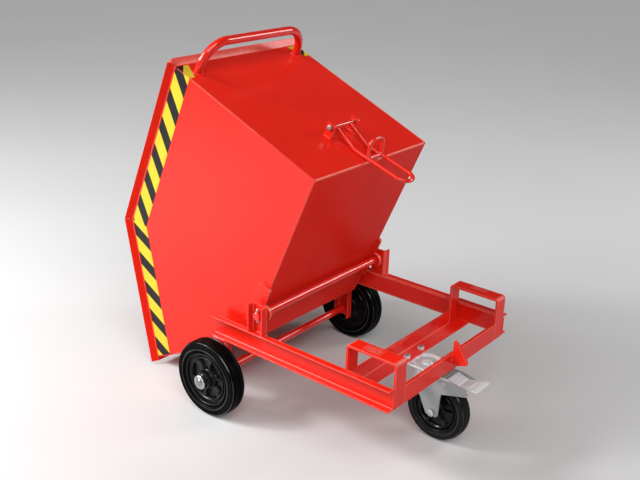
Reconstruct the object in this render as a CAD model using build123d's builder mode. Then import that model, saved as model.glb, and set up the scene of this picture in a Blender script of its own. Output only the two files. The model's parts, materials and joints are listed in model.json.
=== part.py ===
from build123d import *
from math import atan2, cos, radians, sin, sqrt
import os

os.makedirs("parts", exist_ok=True)

# Box trolley: a welded sheet tub that tips forward over two fixed wheels, on a frame of
# folded channel with one braked swivel castor. Millimetres, +Z up, +X towards the person
# who pushes it, -Y on that person's left. The tub is shown tipped, as it rests.

# Fits
running_fit = 0.05
bolt_room = 0.5
side_play = 0.4
end_chamfer = 1.2

# Tub, in its own frame: X to the back, Z up, from the outer back edge of the floor
sheet = 3.0
sheet_fold = 3.0
tub_half_width = 219.0
tub_floor = 509.0
tub_height = 476.0
rim_level = 473.0
lip_reach = 793.0
lip_height = 252.0
rim_flare = 14.0
rim_corner = 12.0
lip_width = 15.0
tip_angle = 66.9

# Tipping axle, ears and posts
pivot_ahead = 388.0
pivot_drop = 13.3
pivot_height = 295.0
pivot_dia = 20.0
ear_wall = 8.0
ear_length = 132.0
ear_depth = 36.0
ear_below = 7.0
ear_corner = 6.0
ear_boss = 20.0
ear_gap = 11.5
spacer_wall = 6.0
washer_wall = 3.0
washer_dia = 36.0
split_pin_dia = 4.0
split_pin_length = 34.0
split_pin_head = 8.0
axle_past_pin = 6.0

# Frame
channel_wall = 4.0
channel_width = 21.0
channel_fold = 4.0
rail_depth = 54.0
rail_top = 249.0
rail_nose = 28.0
rail_short = 1.5
stub_depth = 48.0
post_above = 27.0
hanger_foot = 75.0
axle_to_pivot = 121.0
axle_to_rear = 517.5
bar_wall = 6.0
cross_bar_depth = 45.0
rest_length = 138.0
rest_width = 40.0
rest_fold = 4.5
rest_gap = 0.3
angle_leg = 40.0
angle_short_leg = 30.0
angle_wall = 4.0
angle_fold = 4.0
angle_bolt_edge = 28.5
hook_wall = 8.0
hook_reach = 40.0
hook_height = 60.0
hook_weld = 26.0
hook_crest = 8.0
hook_room = 7.2
hook_nose = 7.0
hook_round = 3.0

# Fixed wheels
wheel_dia = 200.0
tyre_width = 48.0
tyre_height = 30.0
tyre_shoulder = 9.0
tyre_round = 6.0
rim_ring = 14.0
rim_inset = 3.0
rim_web = 8.0
spoke_count = 6
spoke_start = 18.0
spoke_width = 9.0
spoke_depth = 32.0
hub_dia = 46.0
hub_length = 54.0
bush_wall = 3.0
axle_dia = 20.0
axle_spacer_wall = 8.0
axle_spacer_length = 1.6
collar_dia = 36.0
collar_width = 14.0
collar_chamfer = 1.0
collar_screw_dia = 6.0
collar_screw_length = 7.0
axle_past_collar = 1.5

# Castor
axle_to_king = 449.0
plate_length = 105.0
plate_width = 88.0
plate_wall = 4.0
plate_corner = 22.0
bolt_pitch_x = 80.0
bolt_pitch_y = 60.0
bolt_dia = 10.0
bolt_hex = 16.0
bolt_head = 6.4
nut_high = 8.0
bolt_end = 4.0
dish_dia = 80.0
dish_depth = 5.0
dish_slope = 7.0
king_dia = 16.0
king_head_dia = 28.0
king_head = 4.0
race_dia = 58.0
race_width = 11.0
fork_top = 183.5
fork_wall = 4.0
fork_inside = 54.0
fork_round = 3.0
fork_neck_foot = 150.0
leg_front = 38.0
leg_knee = 117.0
leg_foot = 16.0
leg_under = 11.0
leg_back = 20.0
arm_under = 139.0
arm_start = 76.0
arm_reach = 130.0
arm_tail = 158.0
arm_lean = 3.0
arm_end = 172.0
crown_reach = 68.0
neck_round = 20.0
leg_round = 9.0
arm_round = 4.0
trail = 41.0
castor_dia = 165.0
castor_tread = 40.0
castor_tyre_height = 24.0
castor_rim_ring = 11.0
castor_hub_dia = 34.0
castor_bolt_dia = 12.0
castor_bolt_hex = 19.0
castor_bolt_head = 7.5
castor_nut = 10.0
castor_bush_wall = 3.0
pedal_wall = 3.0
pedal_width = 60.0
pedal_root = 72.0
pedal_root_height = 180.5
pedal_dip = 101.0
pedal_dip_height = 172.0
pedal_flare = 134.0
pedal_reach = 156.0
pedal_tip_height = 181.0
pedal_fold = 12.0
pedal_corner = 5.0
pedal_lug = 4.0
pedal_lug_in = 1.2
pedal_pin_dia = 8.0
pedal_pin_ahead = 66.0
pedal_pin_height = 169.0
pedal_pin_head = 12.0
pedal_pin_cap = 2.0

# Striped tape
tape_wall = 0.4
tape_width = 50.0
tape_gap = 4.0
tape_wrap = 39.0
tape_slant = 22.0

# Push handle
handle_dia = 22.0
handle_wall = 2.5
handle_inset = 41.0
handle_drop = 39.0
handle_out = 79.0
handle_bend = 68.0

# Latch
latch_hinge_out = 26.0
latch_hinge_height = 116.0
latch_bracket_gap = 84.0
latch_bracket_wall = 6.0
latch_bracket_depth = 24.0
latch_bracket_past = 10.0
latch_bracket_round = 3.0
latch_bolt_dia = 8.0
latch_bolt_hex = 13.0
latch_bolt_head = 5.3
latch_nut_high = 6.5
latch_bolt_end = 3.0
latch_sleeve_wall = 2.2
latch_sleeve_past = 0.5
latch_rod = 10.0
latch_span = 51.0
latch_knee_gap = 0.6
latch_knee_height = 46.0
latch_tip_out = 18.0
latch_tip_height = -106.5
latch_bend = 25.0
latch_knee_bend = 40.0
grip_rod = 9.5
grip_height = 4.0
grip_out = 46.0
grip_lean = 15.0
grip_bend = 18.0
grip_foot_bend = 7.0


def beside(points, gap):
    """The polyline that follows another one on its right, at the given gap."""
    headings = [atan2(b[1] - a[1], b[0] - a[0]) for a, b in zip(points, points[1:])]
    moved = []
    for point, before, after in zip(points, headings[:1] + headings, headings + headings[-1:]):
        reach = gap / cos((after - before) / 2)
        middle = (after + before) / 2
        moved.append((point[0] + reach * sin(middle), point[1] - reach * cos(middle)))
    return moved


# Where things are: the box around the tipped trolley has its bottom centre at the origin
tip = radians(tip_angle)
slope = atan2(tub_height - lip_height, lip_reach - rim_level)
lip_end = (-lip_reach - lip_width * cos(slope), lip_height - lip_width * sin(slope))
rim_line = [(0, tub_height), (-rim_level, tub_height), (-lip_reach, lip_height)]
sheet_across = sheet / sqrt(2)
rim_over = beside(rim_line, rim_flare + sheet_across)
kink_x = rim_over[1][0] + pivot_ahead
kink_z = rim_over[1][1] + pivot_drop
front_reach = kink_z * sin(tip) - kink_x * cos(tip)
rear_reach = axle_to_king - axle_to_pivot + pedal_reach
pivot_x = (front_reach - rear_reach) / 2
axle_x = pivot_x - axle_to_pivot
rear_x = axle_x + axle_to_rear
king_x = axle_x + axle_to_king
castor_x = king_x + trail
wheel_radius = wheel_dia / 2
castor_radius = castor_dia / 2
rest_top = pivot_height + pivot_drop - rest_gap
ear_out = tub_half_width + ear_wall
frame_inside = ear_out + ear_gap
web_out = frame_inside + channel_wall
frame_out = frame_inside + channel_width
frame_foot = rail_top - rail_depth
hub_in = frame_out + axle_spacer_length + side_play
wheel_y = hub_in + hub_length / 2
hub_out = hub_in + hub_length
collar_out = hub_out + side_play + collar_width

tub_frame = Plane(
    origin=(
        pivot_x + pivot_ahead * cos(tip) - pivot_drop * sin(tip),
        0,
        pivot_height + pivot_ahead * sin(tip) + pivot_drop * cos(tip),
    ),
    x_dir=(cos(tip), 0, sin(tip)),
    z_dir=(-sin(tip), 0, cos(tip)),
)


def on_tub(plane):
    """The same plane carried into the tub's tipped frame."""
    return Plane(tub_frame.location * plane.location)


def across(x, z, y=0.0):
    """A plane that faces -Y at a point of the frame, for what turns about a cross axis."""
    return Plane(origin=(x, y, z), x_dir=(1, 0, 0), z_dir=(0, -1, 0))


def flared_rim(plane):
    """Section of the rim: it leaves the wall's outer face, at X 0, and flares out at 45 degrees."""
    bend = 2 * sheet_across - sheet
    with BuildSketch(plane) as section:
        with BuildLine():
            Polyline(
                (0, 0), (rim_flare, rim_flare),
                (rim_flare - sheet_across, rim_flare + sheet_across),
                (-sheet, bend), (-sheet, 0), close=True,
            )
        make_face()
    return section.sketch


def mitre(side):
    """The upright plane in which the back rim and a side rim meet; it faces the back rim."""
    return Plane(origin=(0, side * tub_half_width, 0), z_dir=(1, -side, 0))


def clipped_corner(side):
    """The upright plane that clips a back corner of the rim; it faces the corner."""
    reach = 2 * rim_flare - rim_corner
    return Plane(origin=(reach, side * tub_half_width, 0), z_dir=(1, side, 0))


def channel(plane, depth):
    """Folded channel section: the web stands on the plane's Y axis, the flanges run along X."""
    edge = (depth - channel_wall) / 2
    back = channel_wall / 2
    with BuildSketch(plane) as section:
        with BuildLine():
            FilletPolyline(
                (channel_width, edge), (back, edge), (back, -edge), (channel_width, -edge),
                radius=channel_fold,
            )
        trace(line_width=channel_wall)
    return section.sketch


def angle(plane, high, long):
    """Folded angle section: one leg up the plane's Y axis, the other along its X axis."""
    back = angle_wall / 2
    with BuildSketch(plane) as section:
        with BuildLine():
            FilletPolyline((back, high), (back, back), (long, back), radius=angle_fold)
        trace(line_width=angle_wall)
    return section.sketch


def ring(plane, outer, inner):
    """A flat ring from its two radii."""
    with BuildSketch(plane) as section:
        Circle(outer)
        Circle(inner, mode=Mode.SUBTRACT)
    return section.sketch


def hexagon(plane, across_flats, bore):
    """A hexagon with two flats facing along X, and a round hole where it has a bore."""
    with BuildSketch(plane) as section:
        RegularPolygon(across_flats / 2, 6, major_radius=False, rotation=30)
        if bore > 0:
            Circle(bore, mode=Mode.SUBTRACT)
    return section.sketch


def wheel_plane(x, y, z):
    """Half-section plane of a wheel: X along its axle, Y outwards from the axle."""
    return Plane(origin=(x, y, z), x_dir=(0, 1, 0), z_dir=(1, 0, 0))


def tyre_section(plane, radius, height, width):
    """Half-section of a solid tyre with a flat tread and sloping shoulders."""
    half = width / 2
    seat = half - rim_inset
    with BuildSketch(plane) as section:
        with BuildLine():
            FilletPolyline(
                (-seat, radius - height), (-half, radius - height + rim_inset),
                (-half, radius - tyre_shoulder), (-half + tyre_shoulder, radius),
                (half - tyre_shoulder, radius), (half, radius - tyre_shoulder),
                (half, radius - height + rim_inset), (seat, radius - height),
                radius=(0, tyre_round, tyre_round, tyre_round, tyre_round, 0, 0, 0), close=True,
            )
        make_face()
    return section.sketch


def rim_section(plane, radius, ring_height, width, hub_radius, hub_half, bore):
    """Half-section of a moulded rim: outer ring, thin web and hub."""
    half = width / 2 - rim_inset
    web = rim_web / 2
    inner = radius - ring_height
    with BuildSketch(plane) as section:
        with BuildLine():
            Polyline(
                (-half, radius), (-half, inner), (-web, inner), (-web, hub_radius),
                (-hub_half, hub_radius), (-hub_half, bore), (hub_half, bore),
                (hub_half, hub_radius), (web, hub_radius), (web, inner), (half, inner),
                (half, radius), close=True,
            )
        make_face()
    return section.sketch


# Rails, posts and wheel hangers
rail_start = axle_x - rail_nose
rail_length = axle_to_rear - rail_short + rail_nose
rail_middle = rail_top - rail_depth / 2
rail_section = channel(
    Plane(origin=(rail_start, -frame_inside, rail_middle), x_dir=(0, -1, 0), z_dir=(1, 0, 0)),
    rail_depth,
)
post_section = channel(
    Plane(origin=(pivot_x, -frame_inside, rail_top), x_dir=(0, -1, 0), z_dir=(0, 0, 1)),
    stub_depth,
)
hanger_section = channel(
    Plane(origin=(axle_x, -frame_out, hanger_foot), x_dir=(0, 1, 0), z_dir=(0, 0, 1)),
    stub_depth,
)

with BuildPart() as left_rail:
    extrude(rail_section, amount=rail_length)

with BuildPart() as right_rail:
    mirror(left_rail.part, about=Plane.XZ)

with BuildPart() as left_post:
    extrude(post_section, amount=pivot_height + post_above - rail_top)
    with Locations(across(pivot_x, pivot_height, -frame_inside)):
        Hole(pivot_dia / 2 + running_fit, depth=2 * channel_wall)

with BuildPart() as right_post:
    mirror(left_post.part, about=Plane.XZ)

with BuildPart() as left_hanger:
    extrude(hanger_section, amount=frame_foot - hanger_foot)
    with Locations(across(axle_x, wheel_radius, -frame_out)):
        Hole(axle_dia / 2 + running_fit, depth=2 * channel_wall)

with BuildPart() as right_hanger:
    mirror(left_hanger.part, about=Plane.XZ)

# Rests for the level tub: flat bar bent to an upside-down U against each rail
rest_inside = frame_inside - rest_width
rest_edge = bar_wall / 2
rest_front = rear_x - rest_length

with BuildPart() as left_rest:
    with BuildSketch(Plane.XZ.offset(rest_inside)):
        with BuildLine():
            FilletPolyline(
                (rest_front + rest_edge, frame_foot + angle_wall),
                (rest_front + rest_edge, rest_top - rest_edge),
                (rear_x - rest_edge, rest_top - rest_edge), (rear_x - rest_edge, frame_foot),
                radius=rest_fold,
            )
        trace(line_width=bar_wall)
    extrude(amount=rest_width)

with BuildPart() as right_rest:
    mirror(left_rest.part, about=Plane.XZ)

# Cross members: two angles that the castor hangs from, and the bar with the catch hook
front_angle_x = king_x - bolt_pitch_x / 2 - angle_bolt_edge
rear_angle_x = rear_x - bar_wall
bolt_hole = (bolt_dia + bolt_room) / 2
bolt_ends = (-bolt_pitch_y / 2, bolt_pitch_y / 2)
front_angle_section = angle(
    Plane(origin=(front_angle_x, frame_inside, frame_foot), x_dir=(1, 0, 0), z_dir=(0, -1, 0)),
    angle_leg, angle_leg,
)
rear_angle_section = angle(
    Plane(origin=(rear_angle_x, -frame_inside, frame_foot), x_dir=(-1, 0, 0), z_dir=(0, 1, 0)),
    angle_short_leg, angle_leg,
)

with BuildPart() as front_angle:
    extrude(front_angle_section, amount=2 * frame_inside)
    with BuildSketch(Plane.XZ.offset(rest_inside)):
        with Locations((rest_front, frame_foot + angle_wall)):
            Rectangle(2 * bar_wall, angle_leg, align=(Align.MIN, Align.MIN))
    extrude(amount=rest_width, mode=Mode.SUBTRACT)
    with BuildSketch(Plane.XZ.offset(-rest_inside)):
        with Locations((rest_front, frame_foot + angle_wall)):
            Rectangle(2 * bar_wall, angle_leg, align=(Align.MIN, Align.MIN))
    extrude(amount=-rest_width, mode=Mode.SUBTRACT)
    with Locations(*[(king_x - bolt_pitch_x / 2, y, frame_foot + angle_wall) for y in bolt_ends]):
        Hole(bolt_hole, depth=2 * angle_wall)

with BuildPart() as rear_angle:
    extrude(rear_angle_section, amount=2 * frame_inside)
    with Locations(*[(king_x + bolt_pitch_x / 2, y, frame_foot + angle_wall) for y in bolt_ends]):
        Hole(bolt_hole, depth=2 * angle_wall)

with BuildPart() as cross_bar:
    with BuildSketch(Plane.XZ.offset(-rest_inside)):
        with Locations((rear_x - bar_wall, frame_foot)):
            Rectangle(bar_wall, cross_bar_depth, align=(Align.MIN, Align.MIN))
    extrude(amount=2 * rest_inside)

hook_foot = pivot_height + pivot_drop + latch_tip_height + latch_rod / 2 + hook_room
hook_top = hook_foot + hook_height
hook_root = frame_foot + cross_bar_depth - hook_weld

with BuildPart() as catch_hook:
    with BuildSketch(Plane.XZ.offset(-hook_wall / 2)):
        with BuildLine():
            FilletPolyline(
                (rear_x, hook_root), (rear_x, hook_top), (rear_x + hook_crest, hook_top),
                (rear_x + hook_reach, hook_foot + 2 * hook_nose),
                (rear_x + hook_reach, hook_foot + hook_nose), (rear_x + hook_reach / 2, hook_foot),
                radius=(0, hook_round, hook_round, hook_round, hook_round, hook_round), close=True,
            )
        make_face()
    extrude(amount=hook_wall)

# Tipping axle with its spacers, washers and split pins
pin_y = web_out + washer_wall + split_pin_head / 2 + side_play
pivot_end = pin_y + axle_past_pin
pivot_radius = pivot_dia / 2
pin_radius = split_pin_dia / 2

with BuildPart() as pivot_axle:
    with BuildSketch(across(pivot_x, pivot_height, pivot_end)):
        Circle(pivot_radius)
    extrude(amount=2 * pivot_end)
    chamfer(pivot_axle.edges().filter_by(GeomType.CIRCLE), length=end_chamfer)
    with Locations((pivot_x, pin_y, pivot_height), (pivot_x, -pin_y, pivot_height)):
        Cylinder(pin_radius + running_fit, 2 * pivot_dia, mode=Mode.SUBTRACT)

with BuildPart() as pivot_spacers:
    extrude(
        ring(
            across(pivot_x, pivot_height, -ear_out - side_play),
            pivot_radius + spacer_wall, pivot_radius + running_fit,
        ),
        amount=frame_inside - ear_out - side_play,
    )
    mirror(about=Plane.XZ)

with BuildPart() as pivot_washers:
    extrude(
        ring(across(pivot_x, pivot_height, -web_out), washer_dia / 2, pivot_radius + running_fit),
        amount=washer_wall,
    )
    mirror(about=Plane.XZ)

with BuildPart() as split_pins:
    with Locations((pivot_x, -pin_y, pivot_height)):
        Cylinder(pin_radius, split_pin_length)
    with Locations((pivot_x, -pin_y, pivot_height + split_pin_length / 2)):
        Sphere(split_pin_head / 2)
    mirror(about=Plane.XZ)

# Wheel axle with its spacers and set collars
axle_end = collar_out + axle_past_collar
axle_radius = axle_dia / 2
collar_y = collar_out - collar_width / 2
collar_screw_z = wheel_radius + axle_radius

with BuildPart() as wheel_axle:
    with BuildSketch(across(axle_x, wheel_radius, axle_end)):
        Circle(axle_radius)
    extrude(amount=2 * axle_end)
    chamfer(wheel_axle.edges().filter_by(GeomType.CIRCLE), length=end_chamfer)

with BuildPart() as axle_spacers:
    extrude(
        ring(
            across(axle_x, wheel_radius, -frame_out),
            axle_radius + axle_spacer_wall, axle_radius + running_fit,
        ),
        amount=axle_spacer_length,
    )
    mirror(about=Plane.XZ)

with BuildPart() as set_collars:
    extrude(
        ring(
            across(axle_x, wheel_radius, -hub_out - side_play),
            collar_dia / 2, axle_radius + running_fit,
        ),
        amount=collar_width,
    )
    chamfer(
        set_collars.edges().filter_by(GeomType.CIRCLE).group_by(SortBy.RADIUS)[-1],
        length=collar_chamfer,
    )
    with Locations((axle_x, -collar_y, wheel_radius + collar_dia / 2)):
        Hole(collar_screw_dia / 2, depth=collar_dia / 2 - axle_radius + running_fit)
    mirror(about=Plane.XZ)

with BuildPart() as collar_screws:
    with BuildSketch(Plane(origin=(axle_x, -collar_y, collar_screw_z))):
        Circle(collar_screw_dia / 2 - running_fit)
    extrude(amount=collar_screw_length)
    with BuildSketch(Plane(origin=(axle_x, -collar_y, collar_screw_z + collar_screw_length))):
        RegularPolygon(collar_screw_dia / 4, 6, major_radius=False)
    extrude(amount=-collar_screw_length / 2, mode=Mode.SUBTRACT)
    mirror(about=Plane.XZ)

# Fixed wheels: solid tyre on a spoked rim with a bearing bush
left_wheel_plane = wheel_plane(axle_x, -wheel_y, wheel_radius)
wheel_spin = Axis((axle_x, 0, wheel_radius), (0, 1, 0))
rim_radius = wheel_radius - tyre_height
bush_radius = axle_radius + running_fit + bush_wall
hub_half = hub_length / 2
rim_hole = rim_radius - rim_ring
spoke_long = rim_hole - hub_dia / 2 + rim_web

with BuildPart() as left_tyre:
    revolve(
        tyre_section(left_wheel_plane, wheel_radius, tyre_height, tyre_width), axis=wheel_spin
    )

with BuildPart() as right_tyre:
    mirror(left_tyre.part, about=Plane.XZ)

with BuildPart() as left_rim:
    revolve(
        rim_section(
            left_wheel_plane, rim_radius, rim_ring, tyre_width, hub_dia / 2, hub_half, bush_radius
        ),
        axis=wheel_spin,
    )
    with BuildSketch(across(axle_x, wheel_radius, -wheel_y)):
        with PolarLocations((rim_hole + hub_dia / 2) / 2, spoke_count, start_angle=spoke_start):
            Rectangle(spoke_long, spoke_width)
    extrude(amount=spoke_depth / 2, both=True)

with BuildPart() as right_rim:
    mirror(left_rim.part, about=Plane.XZ)

with BuildPart() as left_bush:
    extrude(
        ring(across(axle_x, wheel_radius, -hub_in), bush_radius, axle_radius + running_fit),
        amount=hub_length,
    )

with BuildPart() as right_bush:
    mirror(left_bush.part, about=Plane.XZ)

# Castor plate with its pressed dish, bolts, race and king pin
plate_foot = frame_foot - plate_wall
plate_middle = frame_foot - plate_wall / 2
dish_top = frame_foot - dish_depth
dish_foot = plate_foot - dish_depth
dish_radius = dish_dia / 2
king_radius = king_dia / 2
king_axis = Axis((king_x, 0, 0), (0, 0, 1))
king_section = Plane(origin=(king_x, 0, 0), x_dir=(1, 0, 0), z_dir=(0, -1, 0))
bolt_spots = [(king_x + side * bolt_pitch_x / 2, y) for side in (-1, 1) for y in bolt_ends]

with BuildPart() as castor_plate:
    with BuildSketch(Plane.XY.offset(plate_foot)):
        with Locations((king_x, 0)):
            RectangleRounded(plate_length, plate_width, plate_corner)
            Circle(dish_radius, mode=Mode.SUBTRACT)
        with Locations(*bolt_spots):
            Circle(bolt_hole, mode=Mode.SUBTRACT)
    extrude(amount=plate_wall)
    with BuildSketch(king_section):
        with BuildLine():
            FilletPolyline(
                (dish_radius, plate_middle), (dish_radius - plate_wall, plate_middle),
                (dish_radius - plate_wall - dish_slope, plate_middle - dish_depth),
                (king_radius + running_fit, plate_middle - dish_depth),
                radius=plate_wall,
            )
        trace(line_width=plate_wall)
    revolve(axis=king_axis)

with BuildPart() as castor_bolts:
    for x, y in bolt_spots:
        extrude(
            hexagon(Plane(origin=(x, y, plate_foot - bolt_head)), bolt_hex, 0), amount=bolt_head
        )
        with BuildSketch(Plane(origin=(x, y, plate_foot))):
            Circle(bolt_dia / 2)
        extrude(amount=plate_wall + angle_wall + nut_high + bolt_end)

with BuildPart() as castor_nuts:
    for x, y in bolt_spots:
        extrude(
            hexagon(
                Plane(origin=(x, y, frame_foot + angle_wall)), bolt_hex,
                bolt_dia / 2 + running_fit,
            ),
            amount=nut_high,
        )

with BuildPart() as castor_race:
    with BuildSketch(king_section):
        with Locations((race_dia / 2 - race_width, fork_top + running_fit)):
            Rectangle(race_width, dish_foot - fork_top - running_fit, align=(Align.MIN, Align.MIN))
    revolve(axis=king_axis)

with BuildPart() as king_pin:
    with BuildSketch(king_section):
        with BuildLine():
            Polyline(
                (0, fork_top - fork_wall - running_fit - king_head),
                (king_head_dia / 2, fork_top - fork_wall - running_fit - king_head),
                (king_head_dia / 2, fork_top - fork_wall - running_fit),
                (king_radius, fork_top - fork_wall - running_fit),
                (king_radius, dish_top), (king_head_dia / 2, dish_top),
                (king_head_dia / 2 - king_head / 2, dish_top + king_head),
                (0, dish_top + king_head), close=True,
            )
        make_face()
    revolve(axis=king_axis)

# Castor fork: a sheet bent round the king pin in plan, capped by its crown and then trimmed
# to the side outline of its two legs and arms
fork_half = fork_inside / 2 + fork_wall / 2
fork_out = fork_inside / 2 + fork_wall
fork_end = king_x + arm_reach + arm_lean
pin_x = king_x + pedal_pin_ahead

with BuildPart() as castor_fork:
    with BuildSketch(Plane.XY):
        with BuildLine():
            Line((fork_end, -fork_half), (king_x, -fork_half))
            ThreePointArc((king_x, -fork_half), (king_x - fork_half, 0), (king_x, fork_half))
            Line((king_x, fork_half), (fork_end, fork_half))
        trace(line_width=fork_wall)
    extrude(amount=fork_top)
    with BuildSketch(Plane.XY.offset(fork_top - fork_wall)):
        with Locations((king_x, 0)):
            Circle(fork_out)
            Rectangle(crown_reach, 2 * fork_out, align=(Align.MIN, Align.CENTER))
    extrude(amount=fork_wall)
    fillet(
        castor_fork.edges().group_by(Axis.Z)[-1].filter_by(
            lambda edge: edge.center().X < king_x or abs(edge.center().Y) > fork_half
        ),
        radius=fork_round,
    )
    with BuildSketch(across(0, 0, fork_out)):
        with BuildLine():
            FilletPolyline(
                (king_x - fork_out, fork_top), (king_x - fork_out, fork_neck_foot),
                (castor_x - leg_front, leg_knee), (castor_x - leg_foot, castor_radius - leg_under),
                (castor_x + leg_foot, castor_radius - leg_under),
                (castor_x + leg_back, arm_under), (king_x + arm_reach, arm_tail),
                (fork_end, arm_end), (king_x + arm_start, fork_top),
                radius=(
                    0, neck_round, neck_round, leg_round, leg_round, leg_round, arm_round,
                    arm_round, 0,
                ),
                close=True,
            )
        make_face()
    extrude(amount=2 * fork_out, mode=Mode.INTERSECT)
    with Locations((king_x, 0, fork_top)):
        Hole(king_radius + running_fit, depth=2 * fork_wall)
    with Locations(across(castor_x, castor_radius, -fork_out)):
        Hole(castor_bolt_dia / 2 + running_fit, depth=3 * fork_inside)
    with Locations(across(pin_x, pedal_pin_height, -fork_out)):
        Hole(pedal_pin_dia / 2 + running_fit, depth=3 * fork_inside)

# Castor wheel on its bolt
castor_plane = wheel_plane(castor_x, 0, castor_radius)
castor_spin = Axis((castor_x, 0, castor_radius), (0, 1, 0))
castor_rim_radius = castor_radius - castor_tyre_height
castor_bolt_radius = castor_bolt_dia / 2
castor_bush_radius = castor_bolt_radius + running_fit + castor_bush_wall
castor_hub_half = fork_inside / 2 - side_play
castor_rim_hole = castor_rim_radius - castor_rim_ring
castor_spoke_long = castor_rim_hole - castor_hub_dia / 2 + rim_web

with BuildPart() as castor_tyre:
    revolve(
        tyre_section(castor_plane, castor_radius, castor_tyre_height, castor_tread),
        axis=castor_spin,
    )

with BuildPart() as castor_rim:
    revolve(
        rim_section(
            castor_plane, castor_rim_radius, castor_rim_ring, castor_tread,
            castor_hub_dia / 2, castor_hub_half, castor_bush_radius,
        ),
        axis=castor_spin,
    )
    with BuildSketch(across(castor_x, castor_radius)):
        with PolarLocations((castor_rim_hole + castor_hub_dia / 2) / 2, spoke_count):
            Rectangle(castor_spoke_long, spoke_width)
    extrude(amount=castor_tread / 2 - 2 * rim_inset, both=True)

with BuildPart() as castor_bush:
    extrude(
        ring(
            across(castor_x, castor_radius, castor_hub_half),
            castor_bush_radius, castor_bolt_radius + running_fit,
        ),
        amount=2 * castor_hub_half,
    )

with BuildPart() as castor_axle_bolt:
    extrude(
        hexagon(across(castor_x, castor_radius, -fork_out), castor_bolt_hex, 0),
        amount=castor_bolt_head,
    )
    with BuildSketch(across(castor_x, castor_radius, -fork_out)):
        Circle(castor_bolt_radius)
    extrude(amount=-2 * fork_out - castor_nut - bolt_end)

with BuildPart() as castor_axle_nut:
    extrude(
        hexagon(
            across(castor_x, castor_radius, fork_out), castor_bolt_hex,
            castor_bolt_radius + running_fit,
        ),
        amount=-castor_nut,
    )

# Brake pedal: a bent plate between the fork's arms with two lugs on its pin and a wider tail
lug_out = fork_inside / 2 - pedal_lug_in
lug_round = pedal_pin_dia
pedal_line = [
    (king_x + pedal_root, pedal_root_height), (king_x + pedal_dip, pedal_dip_height),
    (king_x + pedal_reach, pedal_tip_height),
]
flare_x = king_x + pedal_flare
tail_half = pedal_width / 2
tail_x = flare_x + tail_half - lug_out

with BuildPart() as brake_pedal:
    with BuildSketch(Plane.XZ.offset(-tail_half)):
        with BuildLine():
            FilletPolyline(*pedal_line, radius=pedal_fold)
        trace(line_width=pedal_wall)
    extrude(amount=pedal_width)
    with BuildSketch(Plane.XY):
        with BuildLine():
            FilletPolyline(
                (king_x, -lug_out), (flare_x, -lug_out), (tail_x, -tail_half),
                (king_x + pedal_reach, -tail_half), (king_x + pedal_reach, tail_half),
                (tail_x, tail_half), (flare_x, lug_out), (king_x, lug_out),
                radius=(0, 0, 0, pedal_corner, pedal_corner, 0, 0, 0), close=True,
            )
        make_face()
    extrude(amount=fork_top, mode=Mode.INTERSECT)
    with BuildSketch(Plane.XZ.offset(lug_out - pedal_lug)):
        with BuildLine():
            Polyline(
                pedal_line[0], pedal_line[1],
                (pin_x + lug_round / 2, pedal_pin_height - lug_round / 2),
                (pin_x - lug_round / 2, pedal_pin_height + lug_round / 2), close=True,
            )
        make_face()
        with Locations((pin_x, pedal_pin_height)):
            Circle(lug_round)
            Circle(pedal_pin_dia / 2 + running_fit, mode=Mode.SUBTRACT)
    extrude(amount=pedal_lug)
    mirror(about=Plane.XZ)

with BuildPart() as pedal_pin:
    with BuildSketch(across(pin_x, pedal_pin_height, fork_out)):
        Circle(pedal_pin_dia / 2)
    extrude(amount=2 * fork_out)
    with BuildSketch(across(pin_x, pedal_pin_height, -fork_out)):
        Circle(pedal_pin_head / 2)
    extrude(amount=pedal_pin_cap)
    mirror(about=Plane.XZ)

# Tub: one folded sheet for back, floor and pouring wall, between two side panels
wrap_line = [
    (0, tub_height), (0, 0), (-tub_floor, 0), (-lip_reach, lip_height), lip_end,
]
wrap_half = tub_half_width - sheet
rim_half = tub_half_width + rim_flare
rim_corner_spot = (rim_flare, -tub_half_width, tub_height)
back_rim = flared_rim(on_tub(across(0, tub_height)))
side_rim = flared_rim(on_tub(Plane(origin=rim_corner_spot, x_dir=(0, -1, 0), z_dir=(-1, 0, 0))))

with BuildPart() as tub_wrap:
    extrude(back_rim, amount=rim_half, both=True)
    for side in (-1, 1):
        split(bisect_by=on_tub(mitre(side)), keep=Keep.TOP)
        split(bisect_by=on_tub(clipped_corner(side)), keep=Keep.BOTTOM)
    with BuildSketch(on_tub(Plane.XZ.offset(-wrap_half))):
        with BuildLine():
            FilletPolyline(*beside(wrap_line, sheet / 2), radius=sheet_fold)
        trace(line_width=sheet)
    extrude(amount=2 * wrap_half)

with BuildPart() as left_panel:
    with BuildLine(on_tub(Plane.XZ.offset(tub_half_width))) as rim_path:
        Polyline((rim_flare, tub_height), rim_line[1], lip_end)
    sweep(side_rim, path=rim_path.line, transition=Transition.RIGHT)
    split(bisect_by=on_tub(mitre(-1)), keep=Keep.BOTTOM)
    split(bisect_by=on_tub(clipped_corner(-1)), keep=Keep.BOTTOM)
    with BuildSketch(on_tub(Plane.XZ.offset(wrap_half))):
        with BuildLine():
            Polyline((0, 0), *rim_line, (-tub_floor, 0), close=True)
        make_face()
    extrude(amount=sheet)

with BuildPart() as right_panel:
    mirror(left_panel.part, about=Plane.XZ)

with BuildPart() as left_ear:
    with BuildSketch(on_tub(Plane.XZ.offset(tub_half_width))):
        with Locations((-pivot_ahead, ear_depth / 2 - ear_below)):
            RectangleRounded(ear_length, ear_depth, ear_corner)
        with Locations((-pivot_ahead, -pivot_drop)):
            Circle(ear_boss)
            Circle(pivot_radius + running_fit, mode=Mode.SUBTRACT)
    extrude(amount=ear_wall)

with BuildPart() as right_ear:
    mirror(left_ear.part, about=Plane.XZ)

# Striped tape under the rim, wrapped onto the back wall
tape_line = [(tape_wall, tub_height), (-rim_level, tub_height), lip_end]
tape_top = beside(tape_line, -tape_gap)
tape_foot = beside(tape_line, -tape_gap - tape_width)
tape_high = tub_height - tape_gap
tape_low = tape_high - tape_width

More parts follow.
